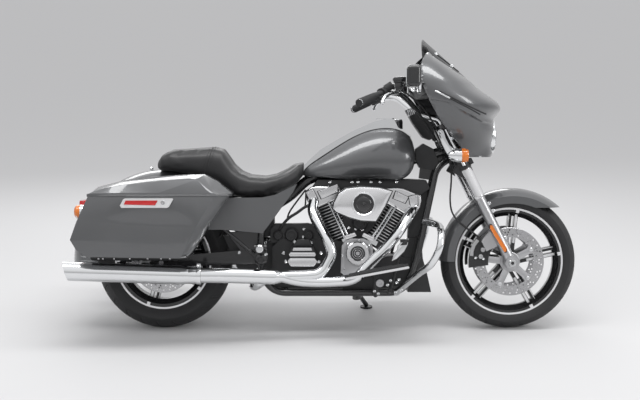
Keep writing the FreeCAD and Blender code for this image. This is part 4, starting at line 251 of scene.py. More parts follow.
GREY_PAINT = Finish("grey_metallic_paint", "grey_paint", (0.1, 0.102, 0.106), 0.5, 0.32, 1.0,
    Grain.FLAKE, 2600.0, 0.03, 0.06)
BLACK_PAINT = Finish("black_gloss_paint", "black_gloss", (0.01, 0.01, 0.011), 0.0, 0.2, 0.7,
    Grain.FLAKE, 900.0, 0.02)
SATIN_BLACK = Finish("satin_black_coat", "black_paint", (0.014, 0.014, 0.015), 0.0, 0.45, 0.0,
    Grain.CAST, 700.0, 0.12)
BLACK_PLASTIC = Finish("moulded_black_plastic", "black_plastic", (0.016, 0.016, 0.017), 0.0, 0.55,
    0.0, Grain.MOULDED, 900.0, 0.2)
CHROME = Finish("polished_chrome", "chrome", (0.8, 0.81, 0.82), 1.0, 0.07, 0.0, Grain.FLAKE, 60.0,
    0.01, 0.04)
SATIN_CHROME = Finish("satin_bright_chrome", "chrome", (0.74, 0.74, 0.75), 1.0, 0.2, 0.0,
    Grain.FLAKE, 900.0, 0.03, 0.06)
MACHINED = Finish("machined_bright_alloy", "bright_steel", (0.8, 0.8, 0.81), 0.8, 0.33, 0.0,
    Grain.BRUSHED, 900.0, 0.06, 0.05)
SILVER_ALLOY = Finish("satin_cast_alloy", "silver_alloy", (0.5, 0.5, 0.51), 1.0, 0.34, 0.1,
    Grain.CAST, 800.0, 0.12)
BRIGHT_STEEL = Finish("brushed_bright_steel", "bright_steel", (0.55, 0.55, 0.56), 1.0, 0.25, 0.0,
    Grain.BRUSHED, 900.0, 0.1)
TYRE_RUBBER = Finish("tyre_rubber", "tyre", (0.016, 0.016, 0.017), 0.0, 0.62, 0.0, Grain.CAST,
    500.0, 0.2)
SOFT_RUBBER = Finish("soft_black_rubber", "rubber", (0.02, 0.02, 0.021), 0.0, 0.7, 0.0, Grain.CAST,
    900.0, 0.25)
SEAT_VINYL = Finish("black_seat_vinyl", "leather", (0.018, 0.018, 0.019), 0.0, 0.42, 0.05,
    Grain.LEATHER, 420.0, 0.35)
SMOKED_SCREEN = Lens("smoked_screen", "smoked_screen", (0.01, 0.0105, 0.012), 0.06, 0.12, 4.0, 0.0,
    0.0, 1.3)
CLEAR_LENS = Lens("clear_lens", "clear_lens", (0.9, 0.92, 0.95), 0.95, 0.03, 90.0, 0.1)
RED_LENS = Lens("red_lens", "red_lens", (0.55, 0.012, 0.014), 0.15)
AMBER_LENS = Lens("amber_lens", "red_lens", (0.85, 0.22, 0.02), 0.2)
MIRROR_GLASS = Finish("mirror_glass", "chrome", (0.85, 0.87, 0.88), 1.0, 0.02, 0.0, Grain.SMOOTH)


class Paintbox:
    """Keeps one material for each finish."""

    def __init__(self) -> None:
        self._made: dict[str, bpy.types.Material] = {}

    def get(self, finish: Finish | Lens) -> bpy.types.Material:
        """Give the material of a finish, made once."""
        if finish.name not in self._made:
            self._made[finish.name] = finish.build()
        return self._made[finish.name]


PAINT = Paintbox()


def deselect() -> None:
    """Leave nothing selected."""
    bpy.ops.object.select_all(action="DESELECT")


def named(name: str) -> Piece:
    """Name the object that was just added."""
    piece = bpy.context.object
    piece.name = name
    piece.data.name = name
    return piece


def activate(piece: Piece) -> None:
    """Make one piece the only selected and the active one."""
    deselect()
    piece.select_set(True)
    bpy.context.view_layer.objects.active = piece


def edit(piece: Piece, kind: str = "VERT") -> None:
    """Open one piece in edit mode with everything selected.

    Args:
        piece: The piece to open.
        kind: Selection kind, VERT, EDGE or FACE.
    """
    activate(piece)
    bpy.ops.object.mode_set(mode="EDIT")
    bpy.ops.mesh.select_mode(type=kind)
    bpy.ops.mesh.select_all(action="SELECT")


def done() -> None:
    """Go back to object mode."""
    bpy.ops.object.mode_set(mode="OBJECT")


def face_out(piece: Piece) -> None:
    """Merge doubles and turn every face outwards."""
    edit(piece)
    bpy.ops.mesh.remove_doubles(threshold=MERGE_DISTANCE)
    bpy.ops.mesh.normals_make_consistent(inside=False)
    done()


def aim(direction: Vector) -> Matrix:
    """Give the turn that takes up to a direction."""
    return direction.to_track_quat("Z", "Y").to_matrix().to_4x4()


def centre_of(outline: Sequence[Flat]) -> Vector:
    """Give the mean of an outline's corners."""
    return sum((Vector(p) for p in outline), Vector((0, 0))) / len(outline)


def grown(outline: Sequence[Flat], centre: Vector, gap: float) -> list[Flat]:
    """Move an outline's corners away from its centre by the same distance."""
    return [tuple(p + (p - centre).normalized() * gap) for p in map(Vector, outline)]


def scaled(outline: Sequence[Flat], centre: Vector, part: float) -> list[Flat]:
    """Scale an outline about its centre."""
    return [tuple(centre.lerp(Vector(p), part)) for p in outline]


def polar(centre: Vector, degrees: float, radius: float) -> Flat:
    """Place a point round a centre, seen from the side."""
    angle = math.radians(degrees)
    return (centre.x + radius * math.cos(angle), centre.z + radius * math.sin(angle))


def at_depth(outline: Iterable[Flat], y: float) -> list[Point]:
    """Give side-view points their place across the machine."""
    return [(x, y, z) for x, z in outline]


def spun(name: str, section: Sequence[Flat], centre: Vector, axis: Vector,
        steps: int = 48) -> Piece:
    """Spin a closed section about an axis.

    Args:
        name: The piece's name.
        section: Closed outline of (radius, height) in metres.
        centre: Where height zero lies on the axis.
        axis: The axis' direction.
        steps: Steps in one turn.

    Returns:
        The spun piece, upright.
    """
    deselect()
    bpy.ops.mesh.primitive_circle_add(vertices=len(section), fill_type="NOTHING")
    piece = named(name)
    for vertex, (radius, height) in zip(piece.data.vertices, section):
        vertex.co = (radius, 0, height)
    edit(piece)
    bpy.ops.mesh.spin(steps=steps, angle=math.tau, center=(0, 0, 0), axis=(0, 0, 1))
    done()
    piece.data.transform(Matrix.Translation(centre) @ aim(axis))
    face_out(piece)
    return piece


def plate(name: str, outline: Sequence[Flat], side_y: float, depth: float, bevel: float = 0.0,
        segments: int = 2) -> Piece:
    """Extrude a side-view outline across the machine.

    Args:
        name: The piece's name.
        outline: Corners as (x, z) in metres.
        side_y: Where the outline lies.
        depth: How far it goes along Y.
        bevel: Width of the bevel on its edges.
        segments: Segments of that bevel.

    Returns:
        The plate, upright.
    """
    deselect()
    bpy.ops.mesh.primitive_circle_add(vertices=len(outline), fill_type="NGON")
    piece = named(name)
    for vertex, (x, z) in zip(piece.data.vertices, outline):
        vertex.co = (x, side_y, z)
    edit(piece, "FACE")
    bpy.ops.mesh.extrude_region_move(TRANSFORM_OT_translate={"value": (0, depth, 0)})
    bpy.ops.mesh.select_all(action="SELECT")
    bpy.ops.mesh.normals_make_consistent(inside=False)
    done()
    if bevel:
        soften(piece, bevel, segments)
    return piece


def modified(piece: Piece, kind: str, **settings: object) -> None:
    """Apply one modifier to the active piece.

    Args:
        piece: The piece.
        kind: The modifier's kind.
        settings: Its settings by name.
    """
    modifier = piece.modifiers.new(kind.lower(), kind)
    for key, value in settings.items():
        setattr(modifier, key, value)
    bpy.ops.object.modifier_apply(modifier=modifier.name)


def soften(piece: Piece, width: float, segments: int = 2, angle: float = 40.0) -> None:
    """Bevel the sharp edges of a piece.

    Args:
        piece: The piece.
        width: The bevel's width in metres.
        segments: Its segments.
        angle: Edges sharper than this many degrees are bevelled.
    """
    activate(piece)
    modified(piece, "BEVEL", width=width, segments=segments, limit_method="ANGLE",
        angle_limit=math.radians(angle))


def hose(name: str, route: Sequence[Point], radius: float, sides: int = 3) -> Piece:
    """Run a smooth tube along a route.

    Args:
        name: The piece's name.
        route: Its control points.
        radius: The tube's radius.
        sides: Bevel resolution of the tube.

    Returns:
        The tube as a mesh.
    """
    deselect()
    bpy.ops.curve.primitive_nurbs_path_add()
    piece = bpy.context.object
    piece.name = name
    curve = piece.data
    curve.splines.clear()
    spline = curve.splines.new("NURBS")
    spline.points.add(len(route) - 1)
    for spot, point in zip(spline.points, route):
        spot.co = (*point, 1)
    spline.order_u = 3
    spline.use_endpoint_u = True
    spline.resolution_u = 8
    curve.bevel_depth = radius
    curve.bevel_resolution = sides
    curve.use_fill_caps = True
    bpy.ops.object.convert(target="MESH")
    piece = bpy.context.object
    face_out(piece)
    return piece


def joined(name: str, pieces: Sequence[Piece]) -> Piece:
    """Join pieces into one object."""
    deselect()
    for piece in pieces:
        piece.select_set(True)
    bpy.context.view_layer.objects.active = pieces[0]
    bpy.ops.object.join()
    return named(name)


def twin(piece: Piece, name: str = "") -> Piece:
    """Copy a piece with its own mesh, under a new name if one is given."""
    copy = piece.copy()
    copy.data = piece.data.copy()
    bpy.context.collection.objects.link(copy)
    if name:
        copy.name = name
        copy.data.name = name
    return copy


def other_side(piece: Piece, name: str) -> Piece:
    """Copy an upright piece to the other side of the machine.

    Args:
        piece: The piece on one side.
        name: The copy's name.

    Returns:
        The mirrored copy with its own mesh.
    """
    copy = twin(piece, name)
    copy.data.transform(Matrix.Scale(-1.0, 4, ALONG))
    face_out(copy)
    return copy


def bolts(name: str, spots: Sequence[Point], axis: Vector, radius: float, height: float,
        sides: int = 6) -> Piece:
    """Make a set of bolt heads, modelled once and copied.

    Args:
        name: The set's name.
        spots: Where each head seats.
        axis: The way the heads point.
        radius: A head's radius.
        height: A head's height.
        sides: Six for a hexagon, more for a round head.

    Returns:
        The heads as one object.
    """
    deselect()
    bpy.ops.mesh.primitive_cylinder_add(vertices=sides, radius=radius, depth=height,
        location=(0, 0, height / 2.0))
    head = named(name)
    head.data.transform(head.matrix_world)
    head.matrix_world = Matrix.Identity(4)
    pick(head, lambda face: face.normal.z > LOOKS_UP)
    bpy.ops.mesh.inset(thickness=radius * 0.3)
    bpy.ops.transform.translate(value=(0, 0, -height * 0.25))
    done()
    soften(head, radius * 0.12, 1, 50.0)
    turn = aim(axis)
    copies = []
    for spot in spots:
        copy = twin(head)
        copy.data.transform(Matrix.Translation(spot) @ turn)
        copies.append(copy)
    bpy.data.objects.remove(head)
    return joined(name, copies)


def pick(piece: Piece, test: Callable[[bpy.types.MeshPolygon], bool]) -> None:
    """Open one piece in edit mode with only those faces selected that pass a test."""
    edit(piece, "FACE")
    bpy.ops.mesh.select_all(action="DESELECT")
    done()
    for face in piece.data.polygons:
        face.select = test(face)
    bpy.ops.object.mode_set(mode="EDIT")


def crown(piece: Piece, toward: Vector, inset: float, rise: float) -> Piece:
    """Inset the faces that look one way and raise or sink them.

    Args:
        piece: The piece to shape.
        toward: The way that the faces look.
        inset: How far their edge comes in.
        rise: How far they go out along that way.

    Returns:
        The same piece.
    """
    pick(piece, lambda face: face.normal.dot(toward) > LOOKS_SAME_WAY)
    bpy.ops.mesh.inset(thickness=inset)
    bpy.ops.transform.translate(value=tuple(toward * rise))
    done()
    return piece


def pillow(name: str, outline: Sequence[Flat], side_y: float, depth: float, inset: float,
        rise: float, bevel: float = 0.0015) -> Piece:
    """Make a plate with a raised, softened face on the outer side.

    Args:
        name: The piece's name.
        outline: Corners as (x, z) in metres.
        side_y: Where its inner face lies.
        depth: How far its rim goes outwards along Y.
        inset: How far the raised face lies inside the rim.
        rise: How far the face stands out of the rim.
        bevel: Width of the softened edges.

    Returns:
        The upright plate.
    """
    piece = plate(name, outline, side_y, depth)
    side = math.copysign(1.0, depth)
    crown(piece, ALONG * side, inset, rise)
    soften(piece, bevel, 2, 30.0)
    return piece


def turned(piece: Piece, name: str, centre: Vector, angle: float) -> Piece:
    """Copy an upright piece round an axis across the machine.

    Args:
        piece: The piece to copy.
        name: The copy's name.
        centre: A point on the axis.
        angle: The turn in radians.

    Returns:
        The copy with its own mesh.
    """
    copy = twin(piece, name)
    turn = Matrix.Translation(centre) @ Matrix.Rotation(angle, 4, "Y") @ Matrix.Translation(-centre)
    copy.data.transform(turn)
    return copy


def ring_of(piece: Piece, name: str, centre: Vector, count: int) -> Piece:
    """Repeat a piece evenly round an axis across the machine and join the copies."""
    copies = [turned(piece, name, centre, math.tau * k / count) for k in range(count)]
    bpy.data.objects.remove(piece)
    return joined(name, copies)


def both_sides(piece: Piece, name: str) -> Piece:
    """Join a piece with its mirrored copy."""
    return joined(name, [piece, other_side(piece, name)])


def cut(piece: Piece, tool: Piece) -> None:
    """Cut a piece with a tool, which is used up."""
    activate(piece)
    modified(piece, "BOOLEAN", operation="DIFFERENCE", object=tool)
    bpy.data.objects.remove(tool)


def own_copy(node: Piece, name: str) -> Piece:
    """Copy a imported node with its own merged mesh, left where it stands."""
    copy = twin(node, name)
    copy.data.transform(copy.matrix_world)
    copy.parent = None
    copy.matrix_world = Matrix.Identity(4)
    face_out(copy)
    return copy


def soft_copy(node: Piece, name: str, width: float, flat: float = 4.0,
        sharp: float = 28.0) -> Piece:
    """Copy a packed panel with flat faces merged and its edges rounded.

    Args:
        node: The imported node.
        name: The copy's name.
        width: Width of the rounded edges.
        flat: Faces that meet flatter than this many degrees are merged.
        sharp: Edges sharper than this many degrees are rounded.

    Returns:
        The copy in the leaned frame.
    """
    copy = own_copy(node, name)
    edit(copy)
    bpy.ops.mesh.dissolve_limited(angle_limit=math.radians(flat))
    done()
    soften(copy, width, 3, sharp)
    return copy


class Trim:
    """Pieces that dress one body."""

    body: str

    def put(self, finish: Finish | Lens, *pieces: Piece, name: str = "", slot: str = "",
            angle: float = 35.0, body: str = "", upright: bool = True) -> None:
        """Join pieces, lean them over, smooth, paint and let them ride.

        Args:
            finish: Their finish.
            pieces: The finished pieces.
            name: The joined piece's name, if there are several.
            slot: Not used.
            angle: Edges flatter than this many degrees look smooth.
            body: The body that they ride on, if it isn't the usual one.
            upright: Whether they were made upright and have to be leaned over.
        """
        piece = joined(name, pieces) if name else pieces[0]
        piece.data.transform((PARK if upright else Matrix.Identity(4)) @ piece.matrix_world)
        piece.matrix_world = Matrix.Identity(4)
        activate(piece)
        bpy.ops.object.shade_smooth_by_angle(angle=math.radians(angle))
        piece.data.materials.clear()
        piece.data.materials.append(PAINT.get(finish))
        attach(piece, body or self.body)
        LOG.info("%s: %d faces", piece.name, len(piece.data.polygons))

    def pair(self, name: str, finish: Finish | Lens, *pieces: Piece, slot: str = "") -> None:
        """Join pieces with their mirrored copies and put them on.

        Args:
            name: The joined piece's name.
            finish: Their finish.
            pieces: The pieces of the right side.
            slot: The record's material slot, if it isn't the finish's own.
        """
        piece = joined(name, pieces) if len(pieces) > 1 else pieces[0]
        self.put(finish, both_sides(piece, name), slot=slot)


@dataclass
class Studio:
    """Floor, lights and the camera at the photograph's angle."""

    distance: float = 5.8
    eye_height: float = 0.841
    eye_x: float = -0.028
    pitch: float = math.radians(2.34)
    lens: float = 68.85
    floor_size: float = 300.0
    glow: Outline = ((0.45, 0.42), (0.6, 0.6), (1.0, 1.0))
    backdrop: Outline = ((0.5, 0.505), (0.56, 0.55), (0.7, 0.8), (1.0, 1.0))

    def build(self) -> None:
        """Set up the view, the world, the floor and the lamps."""
        self._camera()
        self._world()
        self._floor()
        self._lamps()

    def _camera(self) -> None:
        """Put the camera where the photograph was taken, leaned with the machine."""
        deselect()
        bpy.ops.object.camera_add()
        camera = bpy.context.object
        camera.name = "view_camera"
        camera.data.lens = self.lens
        camera.data.clip_end = 200.0
        place = Matrix.Translation((self.eye_x, -self.distance, self.eye_height))
        tilt = Matrix.Rotation(math.pi / 2.0 - self.pitch, 4, "X")
        camera.matrix_world = PARK @ place @ tilt
        bpy.context.scene.camera = camera
        bpy.context.scene.view_settings.view_transform = "Standard"

    def _world(self) -> None:
        """Surround the machine with a pale backdrop, brighter above than at the horizon."""
        world = bpy.data.worlds.new("soft_studio")
        bpy.context.scene.world = world
        world.use_nodes = True
        nodes = world.node_tree.nodes
        links = world.node_tree.links
        place = nodes.new("ShaderNodeTexCoord")
        split = nodes.new("ShaderNodeSeparateXYZ")
        lift = nodes.new("ShaderNodeMapRange")
        lift.inputs["From Min"].default_value = -1.0
        links.new(place.outputs["Generated"], split.inputs["Vector"])
        links.new(split.outputs["Z"], lift.inputs["Value"])
        shades = []
        for stops in (self.glow, self.backdrop):
            ramp = nodes.new("ShaderNodeValToRGB")
            ramp.color_ramp.elements[0].position = stops[0][0]
            ramp.color_ramp.elements[1].position = stops[-1][0]
            for _ in stops[2:]:
                ramp.color_ramp.elements.new(0.5 * (stops[0][0] + stops[-1][0]))
            for element, (spot, level) in zip(ramp.color_ramp.elements, stops):
                element.position = spot
                element.color = (level, level, level * 1.01, 1)
            links.new(lift.outputs["Result"], ramp.inputs["Fac"])
            shade = nodes.new("ShaderNodeBackground")
            links.new(ramp.outputs["Color"], shade.inputs["Color"])
            shades.append(shade)
        path = nodes.new("ShaderNodeLightPath")
        seen = path.outputs["Is Camera Ray"]
        for kind in ("Is Glossy Ray", "Is Transmission Ray"):
            either = nodes.new("ShaderNodeMath")
            either.operation = "MAXIMUM"
            links.new(seen, either.inputs[0])
            links.new(path.outputs[kind], either.inputs[1])
            seen = either.outputs["Value"]
        mix = nodes.new("ShaderNodeMixShader")
        links.new(seen, mix.inputs["Fac"])
        links.new(shades[0].outputs["Background"], mix.inputs[1])
        links.new(shades[1].outputs["Background"], mix.inputs[2])
        links.new(mix.outputs["Shader"], nodes["World Output"].inputs["Surface"])

    def _floor(self) -> None:
        """Lay a plain pale floor."""
        deselect()
        bpy.ops.mesh.primitive_plane_add(size=self.floor_size)
        floor = named("studio_floor")
        material = bpy.data.materials.new("pale_floor")
        material.use_nodes = True
        shader = material.node_tree.nodes["Principled BSDF"]
        shader.inputs["Base Color"].default_value = (0.6, 0.6, 0.605, 1)
        shader.inputs["Roughness"].default_value = 0.9
        shader.inputs["Specular IOR Level"].default_value = 0.1
        floor.data.materials.append(material)

    def _lamps(self) -> None:
        """Hang large soft lamps above, at the front and behind."""
        self._lamp("top_lamp", (0, -0.7, 3.3), (0, 0.1, 0.5), (4.6, 0.8), 75.0)
        self._lamp("side_lamp", (-1.2, -5.0, 2.2), (0, 0, 0.6), (3.2, 0.9), 50.0, False)
        self._lamp("front_lamp", (4.2, -2.2, 2.2), (0.4, 0, 0.7), (1, 2), 40.0)
        self._lamp("back_lamp", (-0.6, 3.4, 2.6), (0, 0, 0.7), (4, 1), 45.0)

    @staticmethod
    def _lamp(name: str, place: Point, target: Point, size: Flat, power: float,
            glint: bool = True) -> None:
        """Hang one area lamp.

        Args:
            name: The lamp's name.
            place: Where it hangs.
            target: What it points at.
            size: Its width and height.
            power: Its power in watts.
            glint: Whether glossy surfaces mirror it.
        """
        deselect()
        bpy.ops.object.light_add(type="AREA", location=place)
        lamp = bpy.context.object
        lamp.name = name
        lamp.data.shape = "RECTANGLE"
        lamp.data.size, lamp.data.size_y = size
        lamp.data.energy = power
        lamp.visible_camera = False
        lamp.visible_glossy = glint
        aimed = (Vector(place) - Vector(target)).to_track_quat("Z", "Y")
        lamp.rotation_euler = aimed.to_euler()


@dataclass
class Frame:
    """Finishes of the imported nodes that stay."""

    finishes: dict[Finish | Lens, tuple[str, ...]] = field(default_factory=lambda: {
        GREY_PAINT: ("fuel_tank", "rear_fender", "saddlebag_right", "saddlebag_left",
            "bag_lid_right", "bag_lid_left", "side_covers", "front_fender", "fairing"),
        BLACK_PAINT: ("main_frame", "swingarm", "front_rim", "rear_rim", "front_calipers",
            "rear_caliper", "mirrors", "fork_tree", "air_cleaner"),
        SATIN_BLACK: ("cylinders", "board_brackets", "oil_cooler", "side_stand", "shock_absorbers",
            "engine_case", "gearbox_cover", "foot_controls"),
        BLACK_PLASTIC: ("dash", "battery_box", "air_insert"),
        CHROME: ("tank_console", "pushrod_tubes", "exhaust_pipes", "mufflers", "engine_guard",
            "front_lamps", "handlebar", "fuel_door", "primary_cover", "horn_cover", "bag_latches",
            "tail_lamps"),
        SATIN_CHROME: ("rocker_covers",),
        SILVER_ALLOY: ("fork_legs", "rear_pulley", "cam_cover"),
        BRIGHT_STEEL: ("front_discs", "rear_disc", "front_axle", "rear_axle"),
        TYRE_RUBBER: ("front_tyre", "rear_tyre"),
        SOFT_RUBBER: ("drive_belt", "floorboard_right", "floorboard_left", "peg_right", "peg_left",
            "hand_controls"),
        SEAT_VINYL: ("seat",),
        SMOKED_SCREEN: ("windscreen",),
        CLEAR_LENS: ("headlight",),
    })

    def dress(self, nodes: dict[str, Piece]) -> None:
        """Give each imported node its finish.

        Args:
            nodes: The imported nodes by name.
        """
        for finish, names in self.finishes.items():
            for name in names:
                for slot in nodes[name].material_slots:
                    slot.material = PAINT.get(finish)
                LOG.info("%s: %s", name, finish.name)


@dataclass(frozen=True)
class WheelTrim(Trim):
    """Rim, spokes, discs and tread of one wheel."""

    name: str
    centre: Vector
    rim: float
    rim_half: float
    tyre: float
    tyre_half: float
    shoulder: float
    disc: float
    disc_sides: tuple[float, ...]
    spoke_angle: float
    spoke_half: float = 0.022
    spokes: int = 5
    slant: float = 0.16
    groove_from: float = 0.16
    groove_to: float = 0.86
    groove_edge: float = 0.0042
    groove_depth: float = 0.0035
    band_width: float = 0.045
    hole_rows: tuple[float, ...] = (0.012, 0.023, 0.034)
    holes_in_row: int = 30
    hole_radius: float = 0.0038
    carrier_angle: float = math.radians(-30.0)

    @property
    def body(self) -> str:
        """The wheel's body."""
        return f"{self.name}_wheel"

    def build(self) -> None:
        """Add tread, bright lip, spoke faces and drilled discs."""
        self._tyre()
        self._lips()
        self._spoke_faces()
        self._discs()

    def _tyre(self) -> None:
        """Mould the tyre with slanted grooves either side of the crown."""
        half = self.tyre_half
        rise = self.tyre - self.shoulder
        crown_radius = (half * half + rise * rise) / (2.0 * rise)
        section = []
        for k in range(-9, 10):
            y = half * k / 9.0
            drop = crown_radius - math.sqrt(crown_radius * crown_radius - y * y)
            section.append((self.tyre - drop, y))
        low = self.rim + 0.002
        section += [(self.shoulder - 0.012, half * 0.985), (self.shoulder - 0.024, half * 0.93),
            (low, self.rim_half + 0.001), (self.rim - 0.004, self.rim_half - 0.004),
            (self.rim - 0.004, 0.004 - self.rim_half), (low, -self.rim_half - 0.001),
            (self.shoulder - 0.024, -half * 0.93), (self.shoulder - 0.012, -half * 0.985)]
        steps = 144
        tyre = spun(f"{self.name}_tyre_tread", section, Vector(), ALONG, steps)
        for vertex in tyre.data.vertices:
            slant = min(abs(vertex.co.y), half * 0.9) / half * self.slant
            vertex.co = Matrix.Rotation(slant, 3, "Y") @ vertex.co

        def grooved(face: bpy.types.MeshPolygon) -> bool:
            """Tell whether a face lies in a groove."""
            spot = face.center
            slant = min(abs(spot.y), half * 0.9) / half * self.slant
            flat = Matrix.Rotation(-slant, 3, "Y") @ spot
            column = round((math.atan2(flat.z, flat.x) / math.tau + 1.0) * steps - 0.5) % steps
            far = abs(spot.y) / half
            turn = 3 if spot.y > 0.0 else 0
            on_tread = math.hypot(spot.x, spot.z) > self.shoulder + 0.002
            in_reach = self.groove_from < far < self.groove_to
            return on_tread and in_reach and column % 6 == turn

        pick(tyre, grooved)
        bpy.ops.mesh.inset(thickness=self.groove_edge, use_boundary=True)
        bpy.ops.transform.shrink_fatten(value=-self.groove_depth)
        done()
        tyre.data.transform(Matrix.Translation(self.centre))
        face_out(tyre)
        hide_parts(f"{self.name}_tyre")
        self.put(TYRE_RUBBER, tyre, angle=25.0)

    def _lips(self) -> None:
        """Turn the bright machined lip on both sides of the rim."""
        out = self.rim_half
        section = [(self.rim - 0.0075, out - 0.003), (self.rim - 0.007, out + 0.0005),
            (self.rim - 0.002, out + 0.002), (self.rim + 0.0015, out + 0.001),
            (self.rim + 0.001, out - 0.003)]
        self.pair(f"{self.name}_rim_lips", MACHINED, spun(f"{self.name}_rim_lip", section,
            self.centre, ALONG, 96))

    def _spoke_faces(self) -> None:
        """Lay machined faces on the spokes, with a tab at the rim."""
        centre = self.centre
        start, end = 0.085, self.rim - 0.024
        face_y = -self.spoke_half + 0.0002
        x, z = centre.x, centre.z
        wide = [(x + start, z - 0.0205), (x + end, z - 0.0205), (x + end, z - 0.0085),
            (x + start, z - 0.0085)]
        thin = [(x + start, z + 0.0185), (x + end, z + 0.0185), (x + end, z + 0.0215),
            (x + start, z + 0.0215)]
        tab = [(x + end + 0.003, z - 0.022), (x + self.rim - 0.006, z - 0.022),
            (x + self.rim - 0.006, z - 0.006), (x + end + 0.003, z - 0.006)]
        parts = [plate("wide_face", wide, face_y, -0.0022, 0.0009),
            plate("thin_face", thin, face_y, -0.0018, 0.0006), plate("rim_tab", tab,
            -self.rim_half + 0.012, -0.0125, 0.001)]
        arm = joined("spoke_face", parts)
        arm = turned(arm, "spoke_face", centre, -self.spoke_angle)
        bpy.data.objects.remove(bpy.data.objects["spoke_face"])
        arm = both_sides(arm, "spoke_face")
        faces = ring_of(arm, f"{self.name}_spoke_faces", centre, self.spokes)
        self.put(MACHINED, faces)

    def _discs(self) -> None:
        """Drill the brake discs and bolt them to their carriers."""
        inner = self.disc - self.band_width
        bands, carriers, rivets = [], [], []
        for side_y in self.disc_sides:
            middle = self.centre + ALONG * side_y
            section = [(inner, -0.0024), (self.disc - 0.001, -0.0024), (self.disc, -0.0016),
                (self.disc, 0.0016), (self.disc - 0.001, 0.0024), (inner, 0.0024)]
            band = spun("disc_band", section, middle, ALONG, 96)
            holes = []
            for k in range(self.holes_in_row):
                for row, radius in enumerate(self.hole_rows):
                    turns = k + 0.28 * row + 0.5 * (k % 2) * (row == 1)
                    angle = math.tau * turns / self.holes_in_row
                    reach = inner + radius
                    holes.append((middle.x + reach * math.cos(angle), side_y - 0.01,
                        middle.z + reach * math.sin(angle)))
            cut(band, bolts("disc_holes", holes, ALONG, self.hole_radius, 0.02, 10))
            bands.append(band)
            x, z = middle.x, middle.z
            arm = [(x + 0.036, z - 0.016), (x + inner - 0.014, z - 0.015),
                (x + inner + 0.004, z - 0.024), (x + inner + 0.008, z),
                (x + inner + 0.004, z + 0.024), (x + inner - 0.014, z + 0.015),
                (x + 0.036, z + 0.016)]
            out = math.copysign(0.0075, side_y)
            blade = pillow("carrier_arm", arm, side_y - out * 0.2, out, 0.004, out * 0.25, 0.001)
            first = turned(blade, "carrier_arm", middle, self.carrier_angle)
            bpy.data.objects.remove(blade)
            arms = ring_of(first, "carrier_arms", middle, 5)
            hub = spun("carrier_hub", flat_mm(30, -4, 47, -4, 47, 6, 43, 9, 30, 9), middle,
                ALONG * math.copysign(1.0, side_y), 48)
            carriers += [arms, hub]
            spots = []
            for k in range(5):
                angle = -self.carrier_angle + math.tau * k / 5.0
                spots.append((x + (inner - 0.001) * math.cos(angle), side_y + out * 0.9,
                    z + (inner - 0.001) * math.sin(angle)))
            rivets.append(bolts("disc_rivets", spots, ALONG * math.copysign(1.0, side_y), 0.0085,
                0.003, 16))
        band = joined(f"{self.name}_disc_bands", bands)
        node = "front_discs" if self.name == "front" else "rear_disc"
        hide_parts(node)
        self.put(BRIGHT_STEEL, band)
        self.put(SILVER_ALLOY, *carriers, name=f"{self.name}_disc_carriers")
        self.put(CHROME, *rivets, name=f"{self.name}_disc_rivets")


